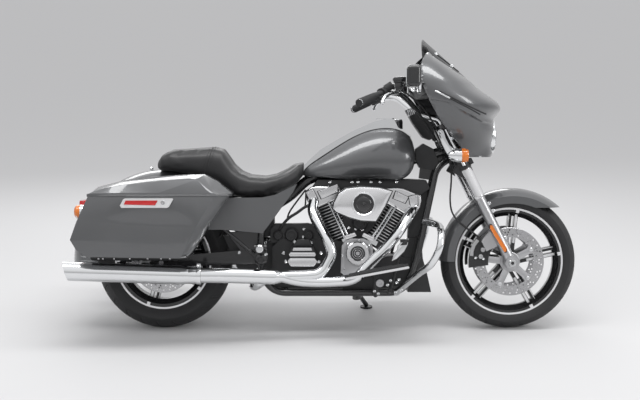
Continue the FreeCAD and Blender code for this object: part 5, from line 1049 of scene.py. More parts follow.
@dataclass
class Engine(Trim):
    """Outer fittings of the V engine and its gearbox."""

    body: str = "motorcycle"
    crank: Vector = Vector((0.148, 0, 0.285))
    banks: tuple[float, float] = (math.radians(-23.0), math.radians(31.0))
    fin_radius: float = 0.076
    fin_root: float = 0.064
    fin_start: float = 0.164
    fin_pitch: float = 0.0145
    fin_thick: float = 0.0056
    fin_count: int = 12
    barrel: Flat = (0.125, 0.334)
    air_face: Outline = flat_mm(31.5, 578.8, 35.9, 603.1, 56.9, 643.5, 90.1, 667.3, 156.4, 675,
        239.4, 670.6, 297.4, 655.1, 267, 591, 223.9, 520.2, 156.4, 523.5, 101.1, 539, 45.8, 562.2)
    air_fold: float = 0.583
    insert: Vector = Vector((0.1686, -0.2892, 0.598))
    rocker_boxes: tuple[Outline, ...] = (flat_mm(-38.6, 647.9, 53.1, 682.2, 58.2, 643.9, -21.4,
        612.9), flat_mm(326.3, 649, 385.3, 620.9, 369.3, 592.3, 313.1, 615.2))
    rocker_ends: tuple[Outline, ...] = (flat_mm(-94.7, 643.6, -61.5, 660.5, -38.6, 615.2, -70.7,
        594.6), flat_mm(386.5, 623.2, 427.7, 633.5, 429.4, 584.9, 395.1, 569.4))
    lifters: tuple[Outline, ...] = (flat_mm(82.6, 442, 132.4, 459.6, 142.6, 443.7, 92.8, 425.6),
        flat_mm(174.9, 457.9, 225.8, 435.2, 217.3, 418.2, 165.2, 440.9))
    cam_panel: Outline = flat_mm(72.1, 401.7, 98.4, 419.5, 149.2, 428.9, 198.1, 411, 215.1, 376.2,
        202.9, 325.3, 183.2, 294.4, 126.6, 270.8, 92.7, 270.8, 79.1, 280.1)
    cam_bolts: Outline = flat_mm(98.3, 412.7, 200.1, 405.4, 74.7, 356.5, 207, 339.6, 83.3, 291.5,
        150.9, 425.1)
    timer: Vector = Vector((0.1455, -0.182, 0.3655))
    tiers: tuple[Outline, ...] = (flat_mm(-151, 390.9, -67.5, 390.9, -63.3, 376.5, -155.3, 376.5),
        flat_mm(-164, 370, -52.8, 370, -46.5, 361, -49.7, 350.5, -168.3, 350.5, -172, 361), flat_mm(
        -179, 328.4, -165.7, 343.5, -52.8, 343.5, -39, 326.2, -56.1, 302.9, -162.6, 302.9))
    gearbox_bolts: Outline = flat_mm(-146.8, 412.4, -70.4, 409.6, -198.6, 361.1, -188.4, 321.2,
        -23.1, 361.1, -34.5, 318.4)
    starter_case: Outline = flat_mm(-262, 405, -262, 470, -240, 496, -85, 498, -35, 488, -18, 455,
        -12, 405)
    starter_ends: Route = route_mm(-161, 444.5, 31, -224, 442, 21, -81.6, 442, 21)
    starter_bolts: Outline = flat_mm(-104.5, 471, -107.8, 435, -283, 407.5)
    induction: Outline = flat_mm(73, 545, 257, 530, 214, 470, 170, 430, 100, 432, 86, 475)
    coil_tray: Outline = flat_mm(-70, 660, -40, 702, 400, 704, 470, 700, 488, 660, 440, 630, 360,
        645, 0, 650)
    front_fill: Outline = flat_mm(443.4, 680, 490.5, 680, 462.3, 534.6, 438.7, 440.3, 415.1, 416.7,
        386, 425, 390, 490, 414, 560, 429.3, 600)
    regulator: Outline = flat_mm(392.9, 430, 441.3, 430, 446.5, 338.3, 424.4, 310.1, 333.7, 293.2,
        311.2, 304.5, 345, 335)
    front_mount: Outline = flat_mm(250, 200, 250, 330, 310, 345, 400, 330, 400, 200)
    neck_cover: Outline = flat_mm(422.2, 845.1, 457.8, 871.9, 503.7, 847.8, 529.5, 794.1, 528.9,
        765.9, 506.7, 747.2, 441, 756.6, 422.2, 794.1)

    def build(self) -> None:
        """Fit all outer parts of the engine."""
        self._fins()
        self._dark_parts()
        self._rockers()
        self._air_cleaner()
        self._cam_side()
        self._gearbox_side()
        self._primary_side()

    def _fins(self) -> None:
        """Turn both finned barrels with a bright machined edge on every fin."""
        low, high = self.barrel
        root, tip, thick = self.fin_root, self.fin_radius, self.fin_thick
        section = [(0.002, low), (root + 0.003, low)]
        for k in range(self.fin_count):
            z = self.fin_start + self.fin_pitch * k
            section += [(root, z - 0.0008), (tip - 0.001, z), (tip, z + 0.001),
                (tip, z + thick - 0.001), (tip - 0.001, z + thick), (root, z + thick + 0.0008)]
        section += [(root, high), (0.002, high)]
        ring = [(tip - 0.0008, 0.0011), (tip + 0.0007, 0.0015), (tip + 0.0007, thick - 0.0015),
            (tip - 0.0008, thick - 0.0011)]
        barrels, edges = [], []
        for bank in self.banks:
            along = Vector((math.sin(bank), 0, math.cos(bank)))
            barrels.append(spun("barrel", section, self.crank, along, 72))
            first = spun("fin_edge", ring, self.crank + along * self.fin_start, along, 72)
            for k in range(self.fin_count):
                copy = twin(first)
                copy.data.transform(Matrix.Translation(along * self.fin_pitch * k))
                edges.append(copy)
            bpy.data.objects.remove(first)
        barrel = joined("finned_barrels", barrels)
        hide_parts("cylinders")
        self.put(SATIN_BLACK, barrel)
        self.put(MACHINED, *edges, name="fin_edges")

    def _dark_parts(self) -> None:
        """Fill the vee, the space under the tank and the gap behind with black fittings."""
        body = pillow("induction_body", self.induction, 0.05, -0.127, 0.007, -0.003, 0.003)
        throat = spun("induction_throat", flat_mm(1, 0, 1, 12, 20, 12, 23, 16, 30, 16, 34, 10, 34,
            0), Vector((0.16, -0.075, 0.5)), -ALONG, 40)
        tray = plate("coil_tray", self.coil_tray, -0.068, 0.136, 0.004)
        lid = pillow("starter_case", self.starter_case, -0.03, -0.048, 0.006, -0.002, 0.004)
        parts = [body, throat, tray, lid]
        for outline, half in ((self.front_fill, 0.03), (self.regulator, 0.05),
                (self.front_mount, 0.06), (self.neck_cover, 0.034)):
            parts.append(pillow("dark_block", outline, half, -2.0 * half, 0.006, -0.002, 0.003))
        for x, z, radius in self.starter_ends:
            parts.append(spun("starter_end", [(0.001, 0), (0.001, 0.018), (radius * 0.55, 0.018),
                (radius * 0.6, 0.022), (radius * 0.85, 0.022), (radius, 0.014), (radius, 0)],
                Vector((x, -0.076, z)), -ALONG, 40))
        self.put(SATIN_BLACK, *parts, name="engine_dark_parts")
        spots = at_depth(self.starter_bolts, -0.078)
        spots += at_depth(flat_mm(138, 470.4, 171.5, 467.6, 107, 476), -0.076)
        spots += [(x, -0.067, 0.6905) for x in (0.1218, 0.1498, 0.2107, 0.2528, 0.018, 0.33)]
        self.put(CHROME, bolts("dark_part_screws", spots, -ALONG, 0.0068, 0.006))
        lines = [hose("breather", route_mm(-60, -70, 600, -79.4, -80, 581.2, -100.9, -80, 574.2,
            -137.3, -80, 545.2, -177.1, -80, 523.2, -216.8, -80, 472.8, -225, -70, 455), 0.0068),
            hose("vent_line", route_mm(-95, -75, 655, -151.8, -80, 581.2, -177.1, -80, 541.5, -180,
            -80, 522), 0.0042), hose("drop_line", route_mm(-92, -72, 652, -93.9, -80, 642.4, -95.8,
            -80, 581.2, -100, -80, 572), 0.004)]
        self.put(SOFT_RUBBER, *lines, name="engine_hoses")

    def _rockers(self) -> None:
        """Set the stepped rocker lids with their screws on both sides."""
        lids, screws, gaskets = [], [], []
        for outline in self.rocker_boxes + self.rocker_ends:
            gaskets.append(plate("rocker_gasket", grown(outline, centre_of(outline), 0.0045),
                -0.0836, -0.0018, 0.0006))
        self.pair("rocker_gaskets", SATIN_BLACK, *gaskets)
        for outline in self.rocker_boxes:
            lids.append(pillow("rocker_lid", outline, -0.085, -0.006, 0.005, -0.0012, 0.0025))
        for outline in self.rocker_ends:
            lids.append(pillow("rocker_end", outline, -0.085, -0.0052, 0.005, -0.001, 0.002))
            screws += at_depth(scaled(outline, centre_of(outline), 0.62), -0.0892)
        for outline in self.rocker_boxes:
            screws += at_depth(scaled(outline[::2], centre_of(outline), 0.7), -0.0898)
        self.pair("rocker_lids", SATIN_CHROME, *lids)
        self.pair("rocker_screws", BRIGHT_STEEL, bolts("rocker_screws", screws, -ALONG, 0.0042,
            0.003))
        blocks = [pillow("lifter_block", outline, -0.09, -0.052, 0.004, -0.002, 0.002)
            for outline in self.lifters]
        self.put(SATIN_CHROME, *blocks, name="lifter_blocks")

    def _air_cleaner(self) -> None:
        """Shape the satin face of the air cleaner, its lip and its insert."""
        self.put(CHROME, plate("air_cleaner_lip", self.air_face, -0.279, -0.0075, 0.002))
        centre = Vector((0.165, 0.605))
        self.put(BLACK_PAINT, plate("air_cleaner_back", grown(self.air_face, centre, 0.006), -0.24,
            -0.04, 0.004))
        face = plate("air_cleaner_face", scaled(self.air_face, centre, 0.955), -0.2845, -0.006)
        crown(face, -ALONG, 0.012, 0.004)
        edit(face, "FACE")
        bpy.ops.mesh.bisect(plane_co=(0.17, 0, self.air_fold), plane_no=(0.07, 0, 1))
        done()
        for vertex in face.data.vertices:
            below = self.air_fold - vertex.co.z
            if below > 0.0005 and vertex.co.y < -0.285:
                vertex.co.y += min(0.005, below * 0.14)
        soften(face, 0.002, 2, 20.0)
        self.put(SATIN_CHROME, face, angle=30.0)
        spot = self.insert
        self.put(CHROME, spun("air_insert_ring", flat_mm(46.5, 0, 46.5, 10.5, 49, 12.5, 53.5, 11.5,
            55.5, 6.5, 55.5, 0), spot, -ALONG, 64))
        self.put(BLACK_PAINT, spun("air_insert_dish", flat_mm(1, 4, 1, 8.2, 6, 8.2, 7.2, 6.5, 30,
            6.2, 32, 7.5, 34, 6.2, 46.5, 7.5, 46.5, 4), spot, -ALONG, 64))

    def _cam_side(self) -> None:
        """Fit the cam cover's panel, its ringed timer cap and the screws."""
        self.put(SILVER_ALLOY, pillow("cam_panel", self.cam_panel, -0.1615, -0.004, 0.007, -0.0018,
            0.0022))
        self.put(SATIN_CHROME, spun("timer_ring", flat_mm(33, -2, 33, 5, 35.5, 7.5, 50.5, 8.5, 55.5,
            4.5, 56.5, -6, 53, -6), self.timer, -ALONG, 72))
        self.put(SATIN_BLACK, spun("timer_cap", flat_mm(1, -2, 1, 3.5, 33, 3.5, 33, -2), self.timer,
            -ALONG, 72))
        rings = [spun("timer_trim", [(low, 0.003), (low, 0.0048), (low + 0.0006, 0.0054),
            (high - 0.0006, 0.0054), (high, 0.0048), (high, 0.003)], self.timer, -ALONG, 64)
            for low, high in flat_mm(1, 9.5, 14.5, 18, 23.5, 26.5)]
        self.put(BRIGHT_STEEL, *rings, name="timer_trims")
        spots = at_depth(self.cam_bolts, -0.1655)
        self.put(CHROME, bolts("cam_screws", spots, -ALONG, 0.0055, 0.005))

    def _gearbox_side(self) -> None:
        """Stack the stepped gearbox cover and its screws."""
        tiers = [pillow("gearbox_tier", outline, -0.152, depth, 0.0045, -0.0012, 0.003)
            for outline, depth in zip(self.tiers, (-0.018, -0.0215, -0.0185))]
        self.put(SATIN_CHROME, *tiers, name="gearbox_tiers")
        self.put(SATIN_BLACK, pillow("gearbox_bracket", flat_mm(-131.4, 426.6, -77.3, 426.6, -61.6,
            390.7, -157.1, 390.7), -0.088, -0.052, 0.004, 0.002))
        spots = at_depth(self.gearbox_bolts, -0.0915)
        self.put(CHROME, bolts("gearbox_screws", spots, -ALONG, 0.0085, 0.009))

    def _primary_side(self) -> None:
        """Add both round caps and their screws on the left."""
        self.put(CHROME, spun("primary_cap", flat_mm(1, -3, 1, 5.5, 30, 5.5, 34, 3.5, 60, 3.5, 66,
            1, 66, -3), Vector((-0.145, 0.2218, 0.297)), ALONG, 64))
        self.put(CHROME, spun("stator_cap", flat_mm(1, -3, 1, 4, 45, 4, 50, 1, 50, -3),
            Vector((0.142, 0.2218, 0.291)), ALONG, 56))
        spots = at_depth([polar(Vector((-0.145, 0, 0.297)), 72.0 * k, 0.049) for k in range(5)],
            0.2252)
        self.put(BRIGHT_STEEL, bolts("primary_screws", spots, ALONG, 0.0045, 0.003))


@dataclass
class FrontEnd(Trim):
    """Everything added to the fork, fairing and handlebar."""

    body: str = "front_end"
    fork_foot: Vector = Vector((0.862, -0.125, 0.318))
    fork_way: Vector = Vector((-0.4493, 0, 0.8934))
    fork_back: Vector = Vector((-0.8934, 0, -0.4493))
    headlight: Vector = Vector((0.795, 0, 0.906))
    grip_end: Vector = Vector((0.1462, -0.42, 1.0481))
    grip_start: Vector = Vector((0.2567, -0.28, 1.0969))
    grip_length: float = 0.118
    grip_ribs: int = 11
    reflector: Outline = flat_mm(758.7, 492.7, 768.5, 492.7, 834.5, 387.8, 832.9, 372.8, 823.9,
        370.8, 758.1, 478.3)
    riser: Outline = flat_mm(374.5, 1028, 434.5, 1051, 505, 944, 513, 901, 488, 887, 455, 900, 409,
        965)
    lamp_bar: Outline = flat_mm(510.5, 920.7, 515.1, 932, 524.1, 936.2, 534.1, 934, 539.7, 926.7,
        550.1, 894.6, 565.8, 864.5, 590.3, 842.7, 594.3, 832.7, 590.4, 809.8, 570.4, 802.8, 553.2,
        825, 533.2, 865, 518.7, 903.5)
    lamp_front: Vector = Vector((0.6121, -0.25, 0.8165))
    vent: Route = route_mm(499.6, -389.7, 1099.7, 520.8, -386.2, 1089.4, 563.8, -376.2, 1068.9,
        607.6, -360.4, 1047.5, 652.9, -334.6, 1028.4, 689, -300.9, 1013.6, 721.6, -256.4, 1003.2)
    vent_low: Route = route_mm(531.6, -383.6, 1075.9, 574.8, -371.7, 1054.4, 619.1, -352.5, 1034.1,
        659.6, -323.6, 1015.5, 690.7, -287.5, 1000.7)
    vent_tip: Route = route_mm(478.4, -391.1, 1101, 495, -391, 1095.5, 512, -388.5, 1085.5, 545,
        -382, 1070.5)
    crease: Outline = flat_mm(380, 1074, 458, 1068.4, 531.9, 1058.2, 575, 1036, 615, 1012.3, 706.8,
        972.3, 774.5, 964.6, 840, 963)
    screen_line: Route = route_mm(497.6, -156.3, 1286, 541.7, -130.9, 1257.8, 580.2, -117.3, 1228.7,
        615.4, -93.6, 1204.6)
    screen_screws: Route = route_mm(503.3, -155.4, 1281.4, 580.2, -117.3, 1228.7)
    screen_way: Vector = Vector((0.62, -0.68, 0.37))
    crease_depth: float = 0.009
    crease_width: float = 0.008
    mirror: Vector = Vector((0.349, 0.423, 1.163))
    dash_x: float = 0.4185
    gauges: Route = route_mm(62, 1165, 43, -62, 1165, 43, 165, 1168, 30, -165, 1168, 30, 290, 1150,
        52, -290, 1150, 52)

    def build(self, nodes: dict[str, Piece]) -> None:
        """Fit all parts of the front end.

        Args:
            nodes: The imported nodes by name.
        """
        self._fold(nodes["fairing"])
        self._forks()
        self._calipers()
        self._lamps()
        self._fairing()
        self._bars()
        self._hoses()

    def _at(self, along: float, back: float = 0.0, y: float = -0.125) -> Vector:
        """Place a point along the right fork leg and behind it."""
        spot = self.fork_foot + self.fork_way * along + self.fork_back * back
        return Vector((spot.x, y, spot.z))

    def _forks(self) -> None:
        """Put covers, black painted-shade shells under the fairing, reflectors and axle clamps on
        both legs.
        """
        self.pair("fork_covers", SATIN_CHROME, spun("fork_cover", flat_mm(25.2, 0, 27.5, 1, 29.5, 6,
            29.5, 12, 28.5, 14, 32.2, 146, 31, 149, 25.2, 149), self._at(0.336), self.fork_way, 48))
        # Painted shade: a black shell and patch on the upper legs, where the fairing's shadow
        # falls.
        upper = spun("fork_sleeve", flat_mm(26, 0, 34.5, 1, 35.2, 10, 33.5, 12, 33.5, 158, 26, 160),
            self._at(0.487), self.fork_way, 40)
        self.pair("fork_sleeves", SATIN_BLACK, upper, pillow("fork_cowl", flat_mm(582.9, 739.2,
            615.3, 794.7, 647.7, 776.2, 675.5, 711.4, 694, 679, 666.2, 688.3, 624.6, 716), -0.125,
            -0.026, 0.006, -0.002, 0.003))
        centre = centre_of(self.reflector)
        self.pair("fork_reflector_beds", BLACK_PLASTIC, pillow("fork_reflector_bed",
            scaled(self.reflector, centre, 1.1), -0.144, -0.0085, 0.003, -0.0008))
        self.pair("fork_reflectors", AMBER_LENS, pillow("fork_reflector",
            scaled(self.reflector, centre, 1.02), -0.151, -0.0042, 0.002, -0.0012, 0.0008))
        self.pair("axle_clamps", SILVER_ALLOY, pillow("axle_clamp", flat_mm(838, 333, 852, 353, 876,
            347, 893, 325, 889, 303, 872, 288, 848, 291, 835, 309), -0.1495, -0.0068, 0.006,
            -0.0015, 0.002))
        nut = spun("axle_nut", flat_mm(7.5, 0, 7.5, 5.2, 14.5, 5.2, 16.2, 3.5, 16.2, 0),
            Vector((0.862, -0.1562, 0.318)), -ALONG, 32)
        # Painted shade: a black disc in each nut's hole stands for the dark inside of the hollow
        # axle.
        well = spun("axle_well", flat_mm(1, 0, 1, 1.4, 7.4, 1.4, 7.4, 0),
            Vector((0.862, -0.1565, 0.318)), -ALONG, 32)
        self.pair("axle_nuts", CHROME, nut)
        self.pair("axle_wells", SATIN_BLACK, well)

    def _calipers(self) -> None:
        """Cover the front brake calipers and set their strips, caps and bolts."""
        shape = [polar(FRONT_AXLE, *spot) for spot in ((171, 0.176), (171, 0.193), (164, 0.196),
            (155, 0.197), (146, 0.194), (146, 0.177), (155, 0.181), (164, 0.18))]
        self.pair("caliper_strips", SILVER_ALLOY, pillow("caliper_strip", shape, -0.0965, -0.004,
            0.003, -0.0008, 0.001))
        body = [polar(FRONT_AXLE, *spot) for spot in ((176, 0.118), (176, 0.172), (162, 0.174),
            (148, 0.172), (136, 0.158), (136, 0.118), (148, 0.108), (164, 0.108))]
        self.pair("caliper_covers", SATIN_BLACK, pillow("caliper_cover", body, -0.0962, -0.0065,
            0.012, -0.003, 0.003))
        pots = at_depth([polar(FRONT_AXLE, angle, 0.142) for angle in (142.5, 156, 169.5)], -0.103)
        self.pair("caliper_caps", SILVER_ALLOY, bolts("caliper_caps", pots, -ALONG, 0.0105, 0.0035,
            28))
        ends = at_depth([polar(FRONT_AXLE, *spot) for spot in ((173, 0.128), (139, 0.165),
            (173, 0.165))], -0.1024)
        self.pair("caliper_bolts", CHROME, bolts("caliper_bolts", ends, -ALONG, 0.006, 0.005))
        clips = [tuple(self._at(along, back, -0.1)) for along, back in flat_mm(252, -33, 292, -30)]
        self.pair("fender_bolts", CHROME, bolts("fender_bolts", clips, -ALONG, 0.0085, 0.007, 20))

    def _lamps(self) -> None:
        """Build the headlight, the lamp bar and the turn signals."""
        front = self.headlight
        self.put(CHROME, spun("headlight_bezel", flat_mm(69.5, -20, 69.5, 4, 72, 9, 77.5, 9, 80.5,
            3, 81.5, -20), front - FORWARD * 0.012, FORWARD, 64))
        self.put(CLEAR_LENS, spun("headlight_glass", flat_mm(0.5, 0, 0.5, 12.8, 20, 12.3, 40, 10.2,
            58, 6.4, 69.5, 1.5, 69.5, -1, 58, 3.8, 40, 7.8, 20, 9.8), front - FORWARD * 0.004,
            FORWARD, 64))
        bowl = spun("headlight_bowl", flat_mm(0.5, -50, 12, -50, 30, -44, 52, -26, 68, -2, 69.2, -2,
            69.2, -6, 53, -30, 30, -48, 0.5, -54), front, FORWARD, 64)
        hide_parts("headlight")
        self.put(CHROME, bowl, slot="clear_lens")
        bulbs = []
        for y, z in flat_mm(26, 14, -26, 14, 0, -28):
            bulbs.append(spun("headlight_bulb", flat_mm(0.5, 0, 0.5, 24, 8, 22, 14, 16, 18, 6, 19.5,
                6, 19.5, 0), front + Vector((-0.036, y, z)), FORWARD, 32))
        self.put(CLEAR_LENS, *bulbs, name="headlight_bulbs")
        self.pair("lamp_bars", CHROME, pillow("lamp_bar", self.lamp_bar, -0.163, -0.012, 0.0045,
            -0.002, 0.003))
        ends = [(0.525, -0.1735, 0.921), (0.5745, -0.1735, 0.823)]
        self.pair("lamp_bar_bolts", CHROME, bolts("lamp_bar_bolts", ends, -ALONG, 0.0085, 0.0045,
            24))
        shell = spun("signal_shell", flat_mm(0.5, -60, 12, -58, 22, -46, 29.5, -22, 32.5, 0, 31.5,
            1, 0.5, 1), self.lamp_front, FORWARD, 40)
        lens = spun("signal_lens", flat_mm(0.5, 1, 31.5, 1, 32.2, 4, 31.8, 20, 26, 31.5, 0.5, 36.5),
            self.lamp_front, FORWARD, 40)
        self.pair("signal_shells", CHROME, shell)
        self.pair("signal_lenses", AMBER_LENS, lens)

    def _below(self, x: float, z: float) -> float:
        """Tell how far a point lies below the fairing's crease."""
        for (x0, z0), (x1, z1) in zip(self.crease, self.crease[1:]):
            if x <= x1:
                break
        part = min(1.0, max(0.0, (x - x0) / (x1 - x0)))
        return z0 + (z1 - z0) * part - z

    def _fold(self, node: Piece) -> None:
        """Fold the fairing's sides inwards below their crease.

        Args:
            node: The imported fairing.
        """
        shell = own_copy(node, "fairing_shell")
        shell.data.transform(PARK.inverted())
        edit(shell, "FACE")
        bpy.ops.mesh.tris_convert_to_quads()
        for (x0, z0), (x1, z1) in zip(self.crease, self.crease[1:]):
            across = Vector((z0 - z1, 0, x1 - x0)).normalized()
            for drop in (0, self.crease_width):
                done()
                for face in shell.data.polygons:
                    below = abs(self._below(face.center.x, face.center.z))
                    face.select = x0 - 0.02 < face.center.x < x1 + 0.02 and below < 0.06
                bpy.ops.object.mode_set(mode="EDIT")
                spot = Vector((x0, 0, z0)) - across * drop
                bpy.ops.mesh.bisect(plane_co=tuple(spot), plane_no=tuple(across))
        done()
        for vertex in shell.data.vertices:
            below = self._below(vertex.co.x, vertex.co.z)
            if below > 0.0004:
                ramp = min(1.0, below / self.crease_width)
                fade = max(0.0, 1.0 - below / 0.22)
                move = self.crease_depth * ramp * fade
                vertex.co.y -= math.copysign(min(move, abs(vertex.co.y) * 0.2), vertex.co.y)
        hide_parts("fairing")
        self.put(GREY_PAINT, shell, angle=30.0)

    def _fairing(self) -> None:
        """Add vent slots, screen trim, gauges and speakers."""
        slots = [hose("vent_slot", self.vent, 0.0036, 4),
            hose("vent_slot_low", self.vent_low, 0.003, 4)]
        self.pair("vent_slots", BLACK_PLASTIC, *slots)
        self.pair("vent_tips", CHROME, hose("vent_tip", self.vent_tip, 0.0046, 4))
        self.pair("screen_trims", BLACK_PLASTIC, hose("screen_trim", [tuple(
            Vector(p) + self.screen_way * 0.0008) for p in self.screen_line], 0.0026, 4))
        self.pair("screen_screws", CHROME, bolts("screen_screws", self.screen_screws,
            self.screen_way, 0.0075, 0.0045, 20))
        dials, rims, cones = [], [], []
        for y, z, radius in self.gauges:
            middle = Vector((self.dash_x, y, z))
            rims.append(spun("gauge_rim", [(radius - 0.003, -0.004), (radius - 0.003, 0.0055),
                (radius, 0.008), (radius + 0.0035, 0.006), (radius + 0.0045, -0.004)], middle,
                -FORWARD, 40))
            if abs(y) > 0.25:
                cones.append(spun("speaker_cone", [(0.0005, 0.004), (0.012, 0.004), (0.016, -0.002),
                    (radius - 0.012, 0.0035), (radius - 0.008, 0.0055), (radius - 0.003, 0.003),
                    (radius - 0.003, -0.004), (0.0005, -0.004)], middle, -FORWARD, 40))
            else:
                dials.append(spun("gauge_dial", [(0.0005, 0.0042), (0.004, 0.004), (0.0045, 0.0025),
                    (radius - 0.003, 0.0025), (radius - 0.003, -0.004), (0.0005, -0.004)], middle,
                    -FORWARD, 40))
        self.put(CHROME, *rims, name="gauge_rims")
        self.put(BLACK_PAINT, *dials, name="gauge_dials")
        self.put(SOFT_RUBBER, *cones, name="speaker_cones")

    def _bars(self) -> None:
        """Add ribbed grips, levers, reservoirs, the riser cover, clamp ribs and mirror glass."""
        way = (self.grip_start - self.grip_end).normalized()
        length = self.grip_length
        section = [(0.0128, 0), (0.0172, 0), (0.0192, 0.002), (0.0192, 0.006)]
        for k in range(self.grip_ribs):
            z = 0.009 + (length - 0.014) * k / self.grip_ribs
            step = (length - 0.014) / self.grip_ribs
            section += [(0.0178, z), (0.0178, z + step * 0.35), (0.0189, z + step * 0.5),
                (0.0189, z + step * 0.85)]
        section += [(0.0178, length), (0.0128, length)]
        self.pair("grip_ribs", SOFT_RUBBER, spun("grip_ribs", section, self.grip_end + way * 0.002,
            way, 36))
        self.pair("grip_caps", CHROME, spun("grip_cap", flat_mm(0.5, -6, 13, -5.5, 17.2, -2, 17.2,
            3, 0.5, 3), self.grip_end, way, 36))
        lever = hose("brake_lever", route_mm(246.3, -410, 1051.5, 254.3, -397, 1073, 272.8, -373,
            1088, 305, -335, 1095, 331.5, -292, 1097, 333, -268, 1102), 0.0068, 4)
        self.pair("hand_levers", CHROME, lever, spun("lever_knob", flat_mm(0.5, -9.5, 6, -8, 9.5, 0,
            7.5, 6.5, 0.5, 9.5), Vector((0.2455, -0.412, 1.0495)), way, 24))
        tank = plate("reservoir_lid", flat_mm(297, 1157, 301, 1166, 350, 1169, 356.5, 1163, 352,
            1150, 340, 1143, 305, 1141), -0.262, -0.056, 0.003)
        self.pair("reservoirs", BLACK_PAINT, tank, plate("reservoir_cup",
            flat_mm(306, 1142, 345, 1143, 338, 1108, 312, 1105), -0.266, -0.048, 0.004))
        cover = pillow("riser_cover", self.riser, -0.037, -0.008, 0.008, -0.004, 0.003)
        other = other_side(cover, "riser_cover_left")
        self.put(SATIN_BLACK, cover, other, pillow("riser_cover_middle", self.riser, 0.037, -0.074,
            0.0001, 0.0), name="riser_cover")
        ribs = []
        for k in range(5):
            base = Vector((0.3895 + 0.0076 * k, 0, 0.9985 + 0.0033 * k))
            ribs.append(plate("clamp_rib", ((base.x, base.z), (base.x + 0.0046, base.z + 0.002),
                (base.x - 0.0046, base.z + 0.029), (base.x - 0.0092, base.z + 0.027)), -0.053,
                0.106, 0.0012))
        self.put(SILVER_ALLOY, *ribs, name="bar_clamp_ribs")
        glass = plate("mirror_glass", flat_mm(-62, -34, -48, -41, 50, -41, 64, -30, 64, 30, 50, 41,
            -48, 41, -62, 34), 0.0, 0.002, 0.001)
        turn = Matrix.Rotation(math.pi / 2.0, 4, "Z")
        glass.data.transform(Matrix.Translation(self.mirror) @ turn)
        self.pair("mirror_glasses", MIRROR_GLASS, glass)

    def _hoses(self) -> None:
        """Run the brake hose, the clutch cable and the loom behind the fork."""
        lines = [hose("front_brake_hose", route_mm(330, -262, 1118, 430, -200, 1060, 520, -120, 930,
            557, -118, 840, 580, -118, 785, 584, -108, 700, 576, -98, 610, 588, -94, 540, 636, -90,
            490, 700, -88, 447, 722, -84, 425), 0.0042), hose("clutch_cable", route_mm(330, 262,
            1112, 430, 190, 1040, 475, 90, 955, 515, 52, 885), 0.004), hose("switch_loom", route_mm(
            318, -262, 1098, 400, -190, 1045, 462, -90, 970, 515, -52, 885), 0.0055)]
        self.put(SOFT_RUBBER, *lines, name="front_hoses")


@dataclass
class TankTrim(Trim):
    """Side seams, ignition switch and seat knob."""

    body: str = "motorcycle"
    seam: Outline = flat_mm(-100, 746.9, -80, 766.4, -50, 788.2, 0, 821, 50, 853.8, 100, 884.5, 150,
        910.5, 200, 929.5, 250, 939.9, 300, 941.1, 340, 933.4, 370, 919.9, 395, 898.5)
    seam_y: float = -0.0545
    seam_radius: float = 0.0026
    switch: Vector = Vector((0.3425, 0, 0.94))
    knob: Vector = Vector((-0.8265, 0, 0.748))

    def build(self) -> None:
        """Fit the trim on the tank and behind the seat."""
        line = [(x, self.seam_y, z + 0.001) for x, z in self.seam]
        self.pair("tank_seams", SOFT_RUBBER, hose("tank_seam", line, self.seam_radius))
        up = Vector((0, 0, 1))
        self.put(BLACK_PAINT, spun("ignition_switch", flat_mm(0.5, 0, 21, 0, 21, 34, 18.5, 41.5,
            13.5, 43, 0.5, 43), self.switch, up, 40))
        self.put(CHROME, spun("switch_ring", flat_mm(12.5, 42, 12.5, 45.5, 16, 45.5, 18.5, 43, 18.5,
            40.5), self.switch, up, 40))
        self.put(CHROME, spun("seat_knob", flat_mm(0.5, 0, 8, 0, 9.5, 3, 9.5, 8, 7, 11.5, 0.5,
            12.5), self.knob, up, 32))


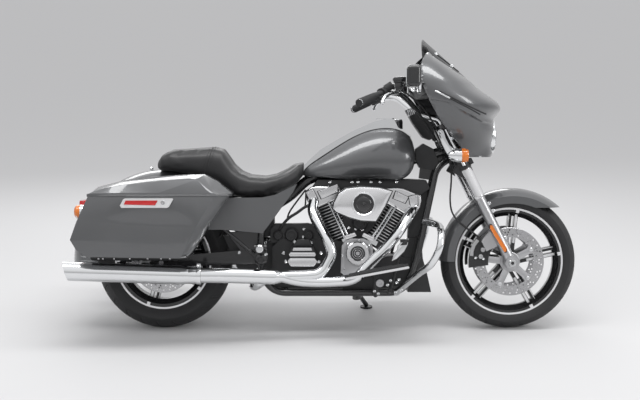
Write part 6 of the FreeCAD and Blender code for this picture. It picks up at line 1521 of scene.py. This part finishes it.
@dataclass
class RearBody(Trim):
    """Bags, tail lamps, seat and rear trim."""

    body: str = "motorcycle"
    latch: Outline = flat_mm(-901.7, 598.3, -886.9, 625.7, -879.9, 629.5, -669.9, 629.5, -667.9,
        625.7, -687.3, 592.3, -695.3, 588.3, -895.3, 588.3)
    reflector: Outline = flat_mm(-883.9, 602.7, -876.3, 620.5, -735.9, 620.5, -747.3, 599.6)
    lock: Vector = Vector((-0.7135, -0.4665, 0.6118))
    signal: Vector = Vector((-1.128, -0.178, 0.5565))
    tail_lens: Outline = flat_mm(-1158.5, 553, -1156.5, 604.5, -1110, 607.5, -1105, 543.5, -1150,
        542.5)
    outlet: Vector = Vector((-1.098, -0.31, 0.2938))
    outlet_way: Vector = Vector((-0.99945, 0, 0.03315))
    bag_line: tuple[Flat, Flat] = flat_mm(-1059, 444, -639, 435)
    bag_crease: tuple[Flat, Flat] = flat_mm(-906, 544, -604, 529)
    tuck_slope: float = 0.2
    tuck_limit: float = 0.013
    hollow_depth: float = 0.005
    hollow_middle: float = -0.765
    hollow_reach: float = 0.2
    seam: Vector = Vector((-0.544, 0, 0.788))
    seam_way: Vector = Vector((0.955, 0, -0.295))
    voxel: float = 0.0055
    puff_limit: float = 0.007

    def build(self, nodes: dict[str, Piece]) -> None:
        """Fit all rear parts.

        Args:
            nodes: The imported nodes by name.
        """
        self._panels(nodes)
        self._lid_rims()
        self._latches()
        self._lamps()
        self._bag_rails()
        self._exhaust()
        self._seat(nodes["seat"])

    def _panels(self, nodes: dict[str, Piece]) -> None:
        """Round the edges of the bags and their lids."""
        for side in ("right", "left"):
            for stem, width in (("saddlebag", 0.0045), ("bag_lid", 0.005)):
                node = f"{stem}_{side}"
                panel = soft_copy(nodes[node], f"{node}_shell", width)
                if stem == "saddlebag":
                    self._crease(panel)
                body = "motorcycle" if stem == "saddlebag" else node
                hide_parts(node)
                self.put(GREY_PAINT, panel, angle=40.0, upright=False, body=body)

    def _lid_rims(self) -> None:
        """Run a rounded rim along the lower edge of both lids."""
        rim = hose("lid_rim", route_mm(-1043, -400, 642.5, -1045, -440, 642.5, -1035, -454, 642.5,
            -800, -454.5, 642.5, -600, -454.5, 642.5, -450, -454, 642.5, -430, -445, 642.5), 0.0028,
            4)
        left = other_side(rim, "lid_rim_left")
        self.put(GREY_PAINT, rim, body="bag_lid_right")
        self.put(GREY_PAINT, left, body="bag_lid_left")

    def _crease(self, panel: Piece) -> None:
        """Fold the bag's outer face along its lower line and its middle crease.

        Args:
            panel: The bag's shell in the leaned frame.
        """
        panel.data.transform(PARK.inverted())
        edit(panel, "FACE")
        lines = []
        for (x0, z0), (x1, z1) in (self.bag_line, self.bag_crease):
            across = Vector((z0 - z1, 0, x1 - x0)).normalized()
            lines.append((Vector((x0, 0, z0)), across))
        (low, low_way), (mid, mid_way) = lines
        planes = [(low, low_way), (mid, mid_way), (mid - mid_way * 0.005, mid_way),
            (mid - mid_way * 0.03, mid_way)]
        planes += [(Vector((x, 0, 0)), FORWARD) for x in (-0.99, -0.92, -0.86, -0.8, -0.74, -0.68,
            -0.62, -0.57)]
        for spot, way in planes:
            bpy.ops.mesh.select_all(action="SELECT")
            bpy.ops.mesh.bisect(plane_co=tuple(spot), plane_no=tuple(way))
        done()
        for vertex in panel.data.vertices:
            if abs(vertex.co.y) < 0.43:
                continue
            move = 0.0
            below = (low - vertex.co).dot(low_way)
            if below > 0.0005:
                move = min(self.tuck_limit, below * self.tuck_slope)
            under = (mid - vertex.co).dot(mid_way)
            reach = (vertex.co.x - self.hollow_middle) / self.hollow_reach
            if 0.004 < under < 0.06 and abs(reach) < 1.0:
                move += self.hollow_depth * (1.0 - reach * reach) * (1.0 - under / 0.08)
            vertex.co.y -= math.copysign(move, vertex.co.y)
        panel.data.transform(PARK)

    def _latches(self) -> None:
        """Lay the bezels, reflectors and locks on both bags."""
        self.pair("latch_bezels", MACHINED, pillow("latch_bezel", self.latch, -0.4635, -0.0035,
            0.004, -0.0008, 0.001))
        self.pair("latch_reflectors", RED_LENS, pillow("latch_reflector", self.reflector, -0.4665,
            -0.0028, 0.003, -0.0008, 0.0008))
        self.pair("bag_locks", BRIGHT_STEEL, spun("bag_lock", flat_mm(0.5, 0, 0.5, 2.2, 3.5, 2.2,
            4.2, 3.4, 8.5, 3.4, 9.8, 2, 9.8, 0), self.lock, -ALONG, 32))

    def _lamps(self) -> None:
        """Add the rear turn signals and the tail lamp."""
        shell = spun("rear_signal_shell", flat_mm(0.5, -46, 14, -45, 26, -38, 32.5, -12, 33.5, 0,
            32.5, 1, 0.5, 1), self.signal, -FORWARD, 40)
        lens = spun("rear_signal_lens", flat_mm(0.5, 1, 32.5, 1, 33, 5, 31, 18, 22, 27, 0.5, 31),
            self.signal, -FORWARD, 40)
        self.put(RED_LENS, plate("tail_lens", self.tail_lens, -0.0672, 0.1344, 0.006, 3))
        self.pair("rear_signal_shells", CHROME, shell)
        self.pair("rear_signal_lenses", AMBER_LENS, lens)

    def _bag_rails(self) -> None:
        """Lay rails and bolts under the bags."""
        self.pair("bag_rails", SATIN_BLACK, pillow("bag_rail", flat_mm(-1060, 358, -1045, 364.5,
            -640, 364.5, -610, 352, -620, 345, -1050, 345), -0.3, -0.03, 0.004, -0.003, 0.002))
        spots = [(x, -0.332, 0.354) for x in (-1.02, -1.0, -0.95, -0.88, -0.8, -0.74, -0.7)]
        self.pair("bag_rail_bolts", BRIGHT_STEEL, bolts("bag_rail_bolts", spots, -ALONG, 0.0045,
            0.004))

    def _exhaust(self) -> None:
        """Clamp the mufflers and darken their outlets with black painted shade."""
        band = spun("muffler_clamp", flat_mm(38.5, 0, 40.8, 0, 41.5, 2, 41.5, 18, 40.8, 20, 38.5,
            20), Vector((-0.583, -0.31, 0.277)), FORWARD, 48)
        ear = pillow("clamp_ear", flat_mm(-584.5, 315, -581.5, 330, -565.5, 330, -562.5, 315),
            -0.306, -0.008, 0.003, -0.001)
        nut = bolts("clamp_bolt", [(-0.5735, -0.3145, 0.3245)], -ALONG, 0.0055, 0.006)
        # Painted shade: a black sleeve and cap inside each outlet stand for the dark inside of the
        # pipe.
        self.pair("outlet_linings", SATIN_BLACK, spun("outlet_lining", flat_mm(0.5, 0, 0.5, 4, 12,
            4, 14, 8, 35.5, 8, 35.5, 50, 36.7, 50, 36.7, 0), self.outlet, self.outlet_way, 40))
        self.pair("muffler_clamps", CHROME, band, ear, nut)

    def _seat(self, node: Piece) -> None:
        """Pad the seat and sew its pillion seam.

        Args:
            node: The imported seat.
        """
        cover = own_copy(node, "seat_cover")
        activate(cover)
        modified(cover, "REMESH", mode="VOXEL", voxel_size=self.voxel)
        self._puff(cover, self.puff_limit)
        modified(cover, "SMOOTH", factor=0.5, iterations=6)
        seams = []
        for shift, radius in flat_mm(0, 2.2, -12, 1.2, 12, 1.2):
            seams.append(self._seam(cover, shift, radius))
        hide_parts("seat")
        self.put(SEAT_VINYL, cover, angle=60.0, upright=False)
        self.put(SOFT_RUBBER, *seams, name="seat_seams", angle=60.0, upright=False)

    @staticmethod
    def _puff(cover: Piece, limit: float, steps: int = 20) -> None:
        """Blow the cover up like a stuffed cushion, only a little.

        Args:
            cover: The remeshed seat.
            limit: How far its skin may move.
            steps: How many steps the simulation runs.
        """
        rest = [vertex.co.copy() for vertex in cover.data.vertices]
        bpy.context.view_layer.objects.active = cover
        cloth = cover.modifiers.new("stuffing", "CLOTH")
        cloth.settings.use_pressure = True
        cloth.settings.uniform_pressure_force = 4.0
        cloth.settings.effector_weights.gravity = 0.0
        cloth.point_cache.frame_end = steps
        for frame in range(1, steps + 1):
            bpy.context.scene.frame_set(frame)
        bpy.ops.object.modifier_apply(modifier=cloth.name)
        for vertex, start in zip(cover.data.vertices, rest):
            move = vertex.co - start
            if move.length > limit:
                vertex.co = start + move.normalized() * limit

    def _seam(self, cover: Piece, shift: float, radius: float) -> Piece:
        """Lay a cord over the cover where a plane crosses it.

        Args:
            cover: The padded cover.
            shift: How far behind the step's seam the plane lies.
            radius: The cord's radius.

        Returns:
            The cord in the leaned frame.
        """
        line = twin(cover)
        spot = PARK @ (self.seam + self.seam_way * shift)
        normal = (PARK.to_3x3() @ self.seam_way).normalized()
        edit(line)
        bpy.ops.mesh.bisect(plane_co=tuple(spot), plane_no=tuple(normal), clear_inner=True,
            clear_outer=True)
        done()
        bpy.ops.object.convert(target="CURVE")
        line = bpy.context.object
        line.data.bevel_depth = radius
        line.data.bevel_resolution = 2
        bpy.ops.object.convert(target="MESH")
        return bpy.context.object


@dataclass
class Chassis(Trim):
    """Boards, pedals and bolts on the frame."""

    body: str = "motorcycle"
    board_inner: float = 0.256
    board_outer: float = 0.368
    board_rear: Flat = (0.084, 0.262)
    board_length: float = 0.292
    board_angle: float = math.radians(10.5)
    rib_count: int = 7
    rib_pitch: float = 0.0145
    rib_width: float = 0.0075
    pedal: Outline = flat_mm(324.3, 405, 338.1, 420.5, 366.5, 441.5, 376.5, 437.1, 370.3, 409.4,
        354.7, 379.1, 321.6, 346, 298.5, 335.8, 307.1, 368.7, 323.6, 388.4)
    plate_bolts: Outline = flat_mm(291.9, 249.7, 278, 229, 319.8, 240.2, 329.8, 254.1, 339.3, 206.7,
        314.2, 195.6, 219.4, 201.1, 236.1, 190)

    def build(self) -> None:
        """Fit all chassis parts."""
        self._boards()
        self._pedals()
        self._bolts()

    def _boards(self) -> None:
        """Give both floorboards a bright rim and a ribbed pad."""
        x, z = self.board_rear
        c, s = math.cos(self.board_angle), math.sin(self.board_angle)
        for side, word in ((-1.0, "right"), (1, "left")):

            def at(along: float, up: float) -> Flat:
                """Place a point along and above the board."""
                return (x + c * along - s * up, z + s * along + c * up)

            self.put(MACHINED, pillow(f"board_rim_{word}", (at(0.004, -0.001), at(0.288, -0.001),
                at(0.292, 0.004), at(0.288, 0.0095), at(0.004, 0.0095), at(0.0, 0.004)),
                side * (self.board_outer - 0.001), side * 0.0045, 0.002, side * 0.0004, 0.001),
                body=f"floorboard_{word}")
            ribs = []
            for k in range(self.rib_count):
                y0 = side * (self.board_inner + 0.012 + k * self.rib_pitch)
                ribs.append(plate("pad_rib", (at(0.02, 0.011), at(0.272, 0.011), at(0.268, 0.0155),
                    at(0.024, 0.0155)), y0, side * self.rib_width, 0.0012))
            self.put(SOFT_RUBBER, *ribs, name=f"board_ribs_{word}", body=f"floorboard_{word}")

    def _pedals(self) -> None:
        """Add the broad brake pedal and its pad."""
        self.put(CHROME, pillow("brake_pedal", self.pedal, -0.2365, -0.013, 0.005, -0.002, 0.003))
        self.put(SOFT_RUBBER, plate("brake_pedal_pad", scaled(self.pedal[:5],
            Vector((0.346, 0.417)), 0.62), -0.279, -0.0045, 0.0015))

    def _bolts(self) -> None:
        """Set caps, bolts and fillers on the brackets, the frame and the pegs."""
        spots = at_depth(self.plate_bolts, -0.268)
        self.put(CHROME, bolts("bracket_bolts", spots, -ALONG, 0.0072, 0.007))
        cap = spun("board_pivot_cap", flat_mm(0.5, 0, 0.5, 5.5, 7, 5.5, 8.5, 7.5, 16.5, 7.5, 18.5,
            5, 18.5, 0), Vector((0.2437, -0.268, 0.238)), -ALONG, 36)
        self.put(SILVER_ALLOY, cap)
        self.pair("swingarm_caps", BLACK_PAINT, spun("swingarm_cap", flat_mm(0.5, 0, 0.5, 6, 12, 6,
            14, 8.5, 20, 8.5, 27, 5, 29, 0, 29, -4, 0.5, -4), Vector((-0.2998, -0.1905, 0.337)),
            -ALONG, 40))
        filler = pillow("pivot_block", flat_mm(-288, 275, -288, 400, -262, 412, -232, 410, -232,
            275), 0.062, -0.124, 0.006, -0.002, 0.003)
        self.put(SATIN_BLACK, filler, pillow("frame_gusset", flat_mm(-479, 446, -319, 446, -305,
            300, -330, 285, -410, 285, -430, 330), -0.11, -0.006, 0.012, -0.002, 0.002),
            name="pivot_block")
        nuts = [(-0.2755, -0.1905, 0.362), (-0.2805, -0.1905, 0.4), (-0.4008, -0.152, 0.3675)]
        self.pair("pivot_bolts", CHROME, bolts("pivot_bolts", nuts, -ALONG, 0.0078, 0.007))
        cap = spun("peg_cap", flat_mm(0.5, 0, 0.5, 2, 6, 2, 6.8, 4.2, 14.5, 4.5, 17.2, 2, 17.2, -6,
            0.5, -6), Vector((-0.3, -0.318, 0.397)), -ALONG, 36)
        left = other_side(cap, "peg_cap_left")
        self.put(CHROME, cap, body="peg_right")
        self.put(CHROME, left, body="peg_left")


WHEELS = (
    WheelTrim("front", FRONT_AXLE, 0.251, 0.054, 0.318, 0.065, 0.285, 0.16, (-0.074, 0.074),
        math.radians(12.0)),
    WheelTrim("rear", REAR_AXLE, 0.224, 0.073, 0.32, 0.09, 0.272, 0.147, (-0.084,),
        math.radians(38.4)),
)


def main() -> None:
    """Build every sub-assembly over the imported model."""
    logging.basicConfig(level=logging.INFO)
    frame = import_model()
    Studio().build()
    nodes = frame["nodes"]
    Frame().dress(nodes)
    for wheel in WHEELS:
        wheel.build()
    Engine().build()
    FrontEnd().build(nodes)
    Chassis().build()
    TankTrim().build()
    RearBody().build(nodes)


if __name__ == "__main__":
    main()
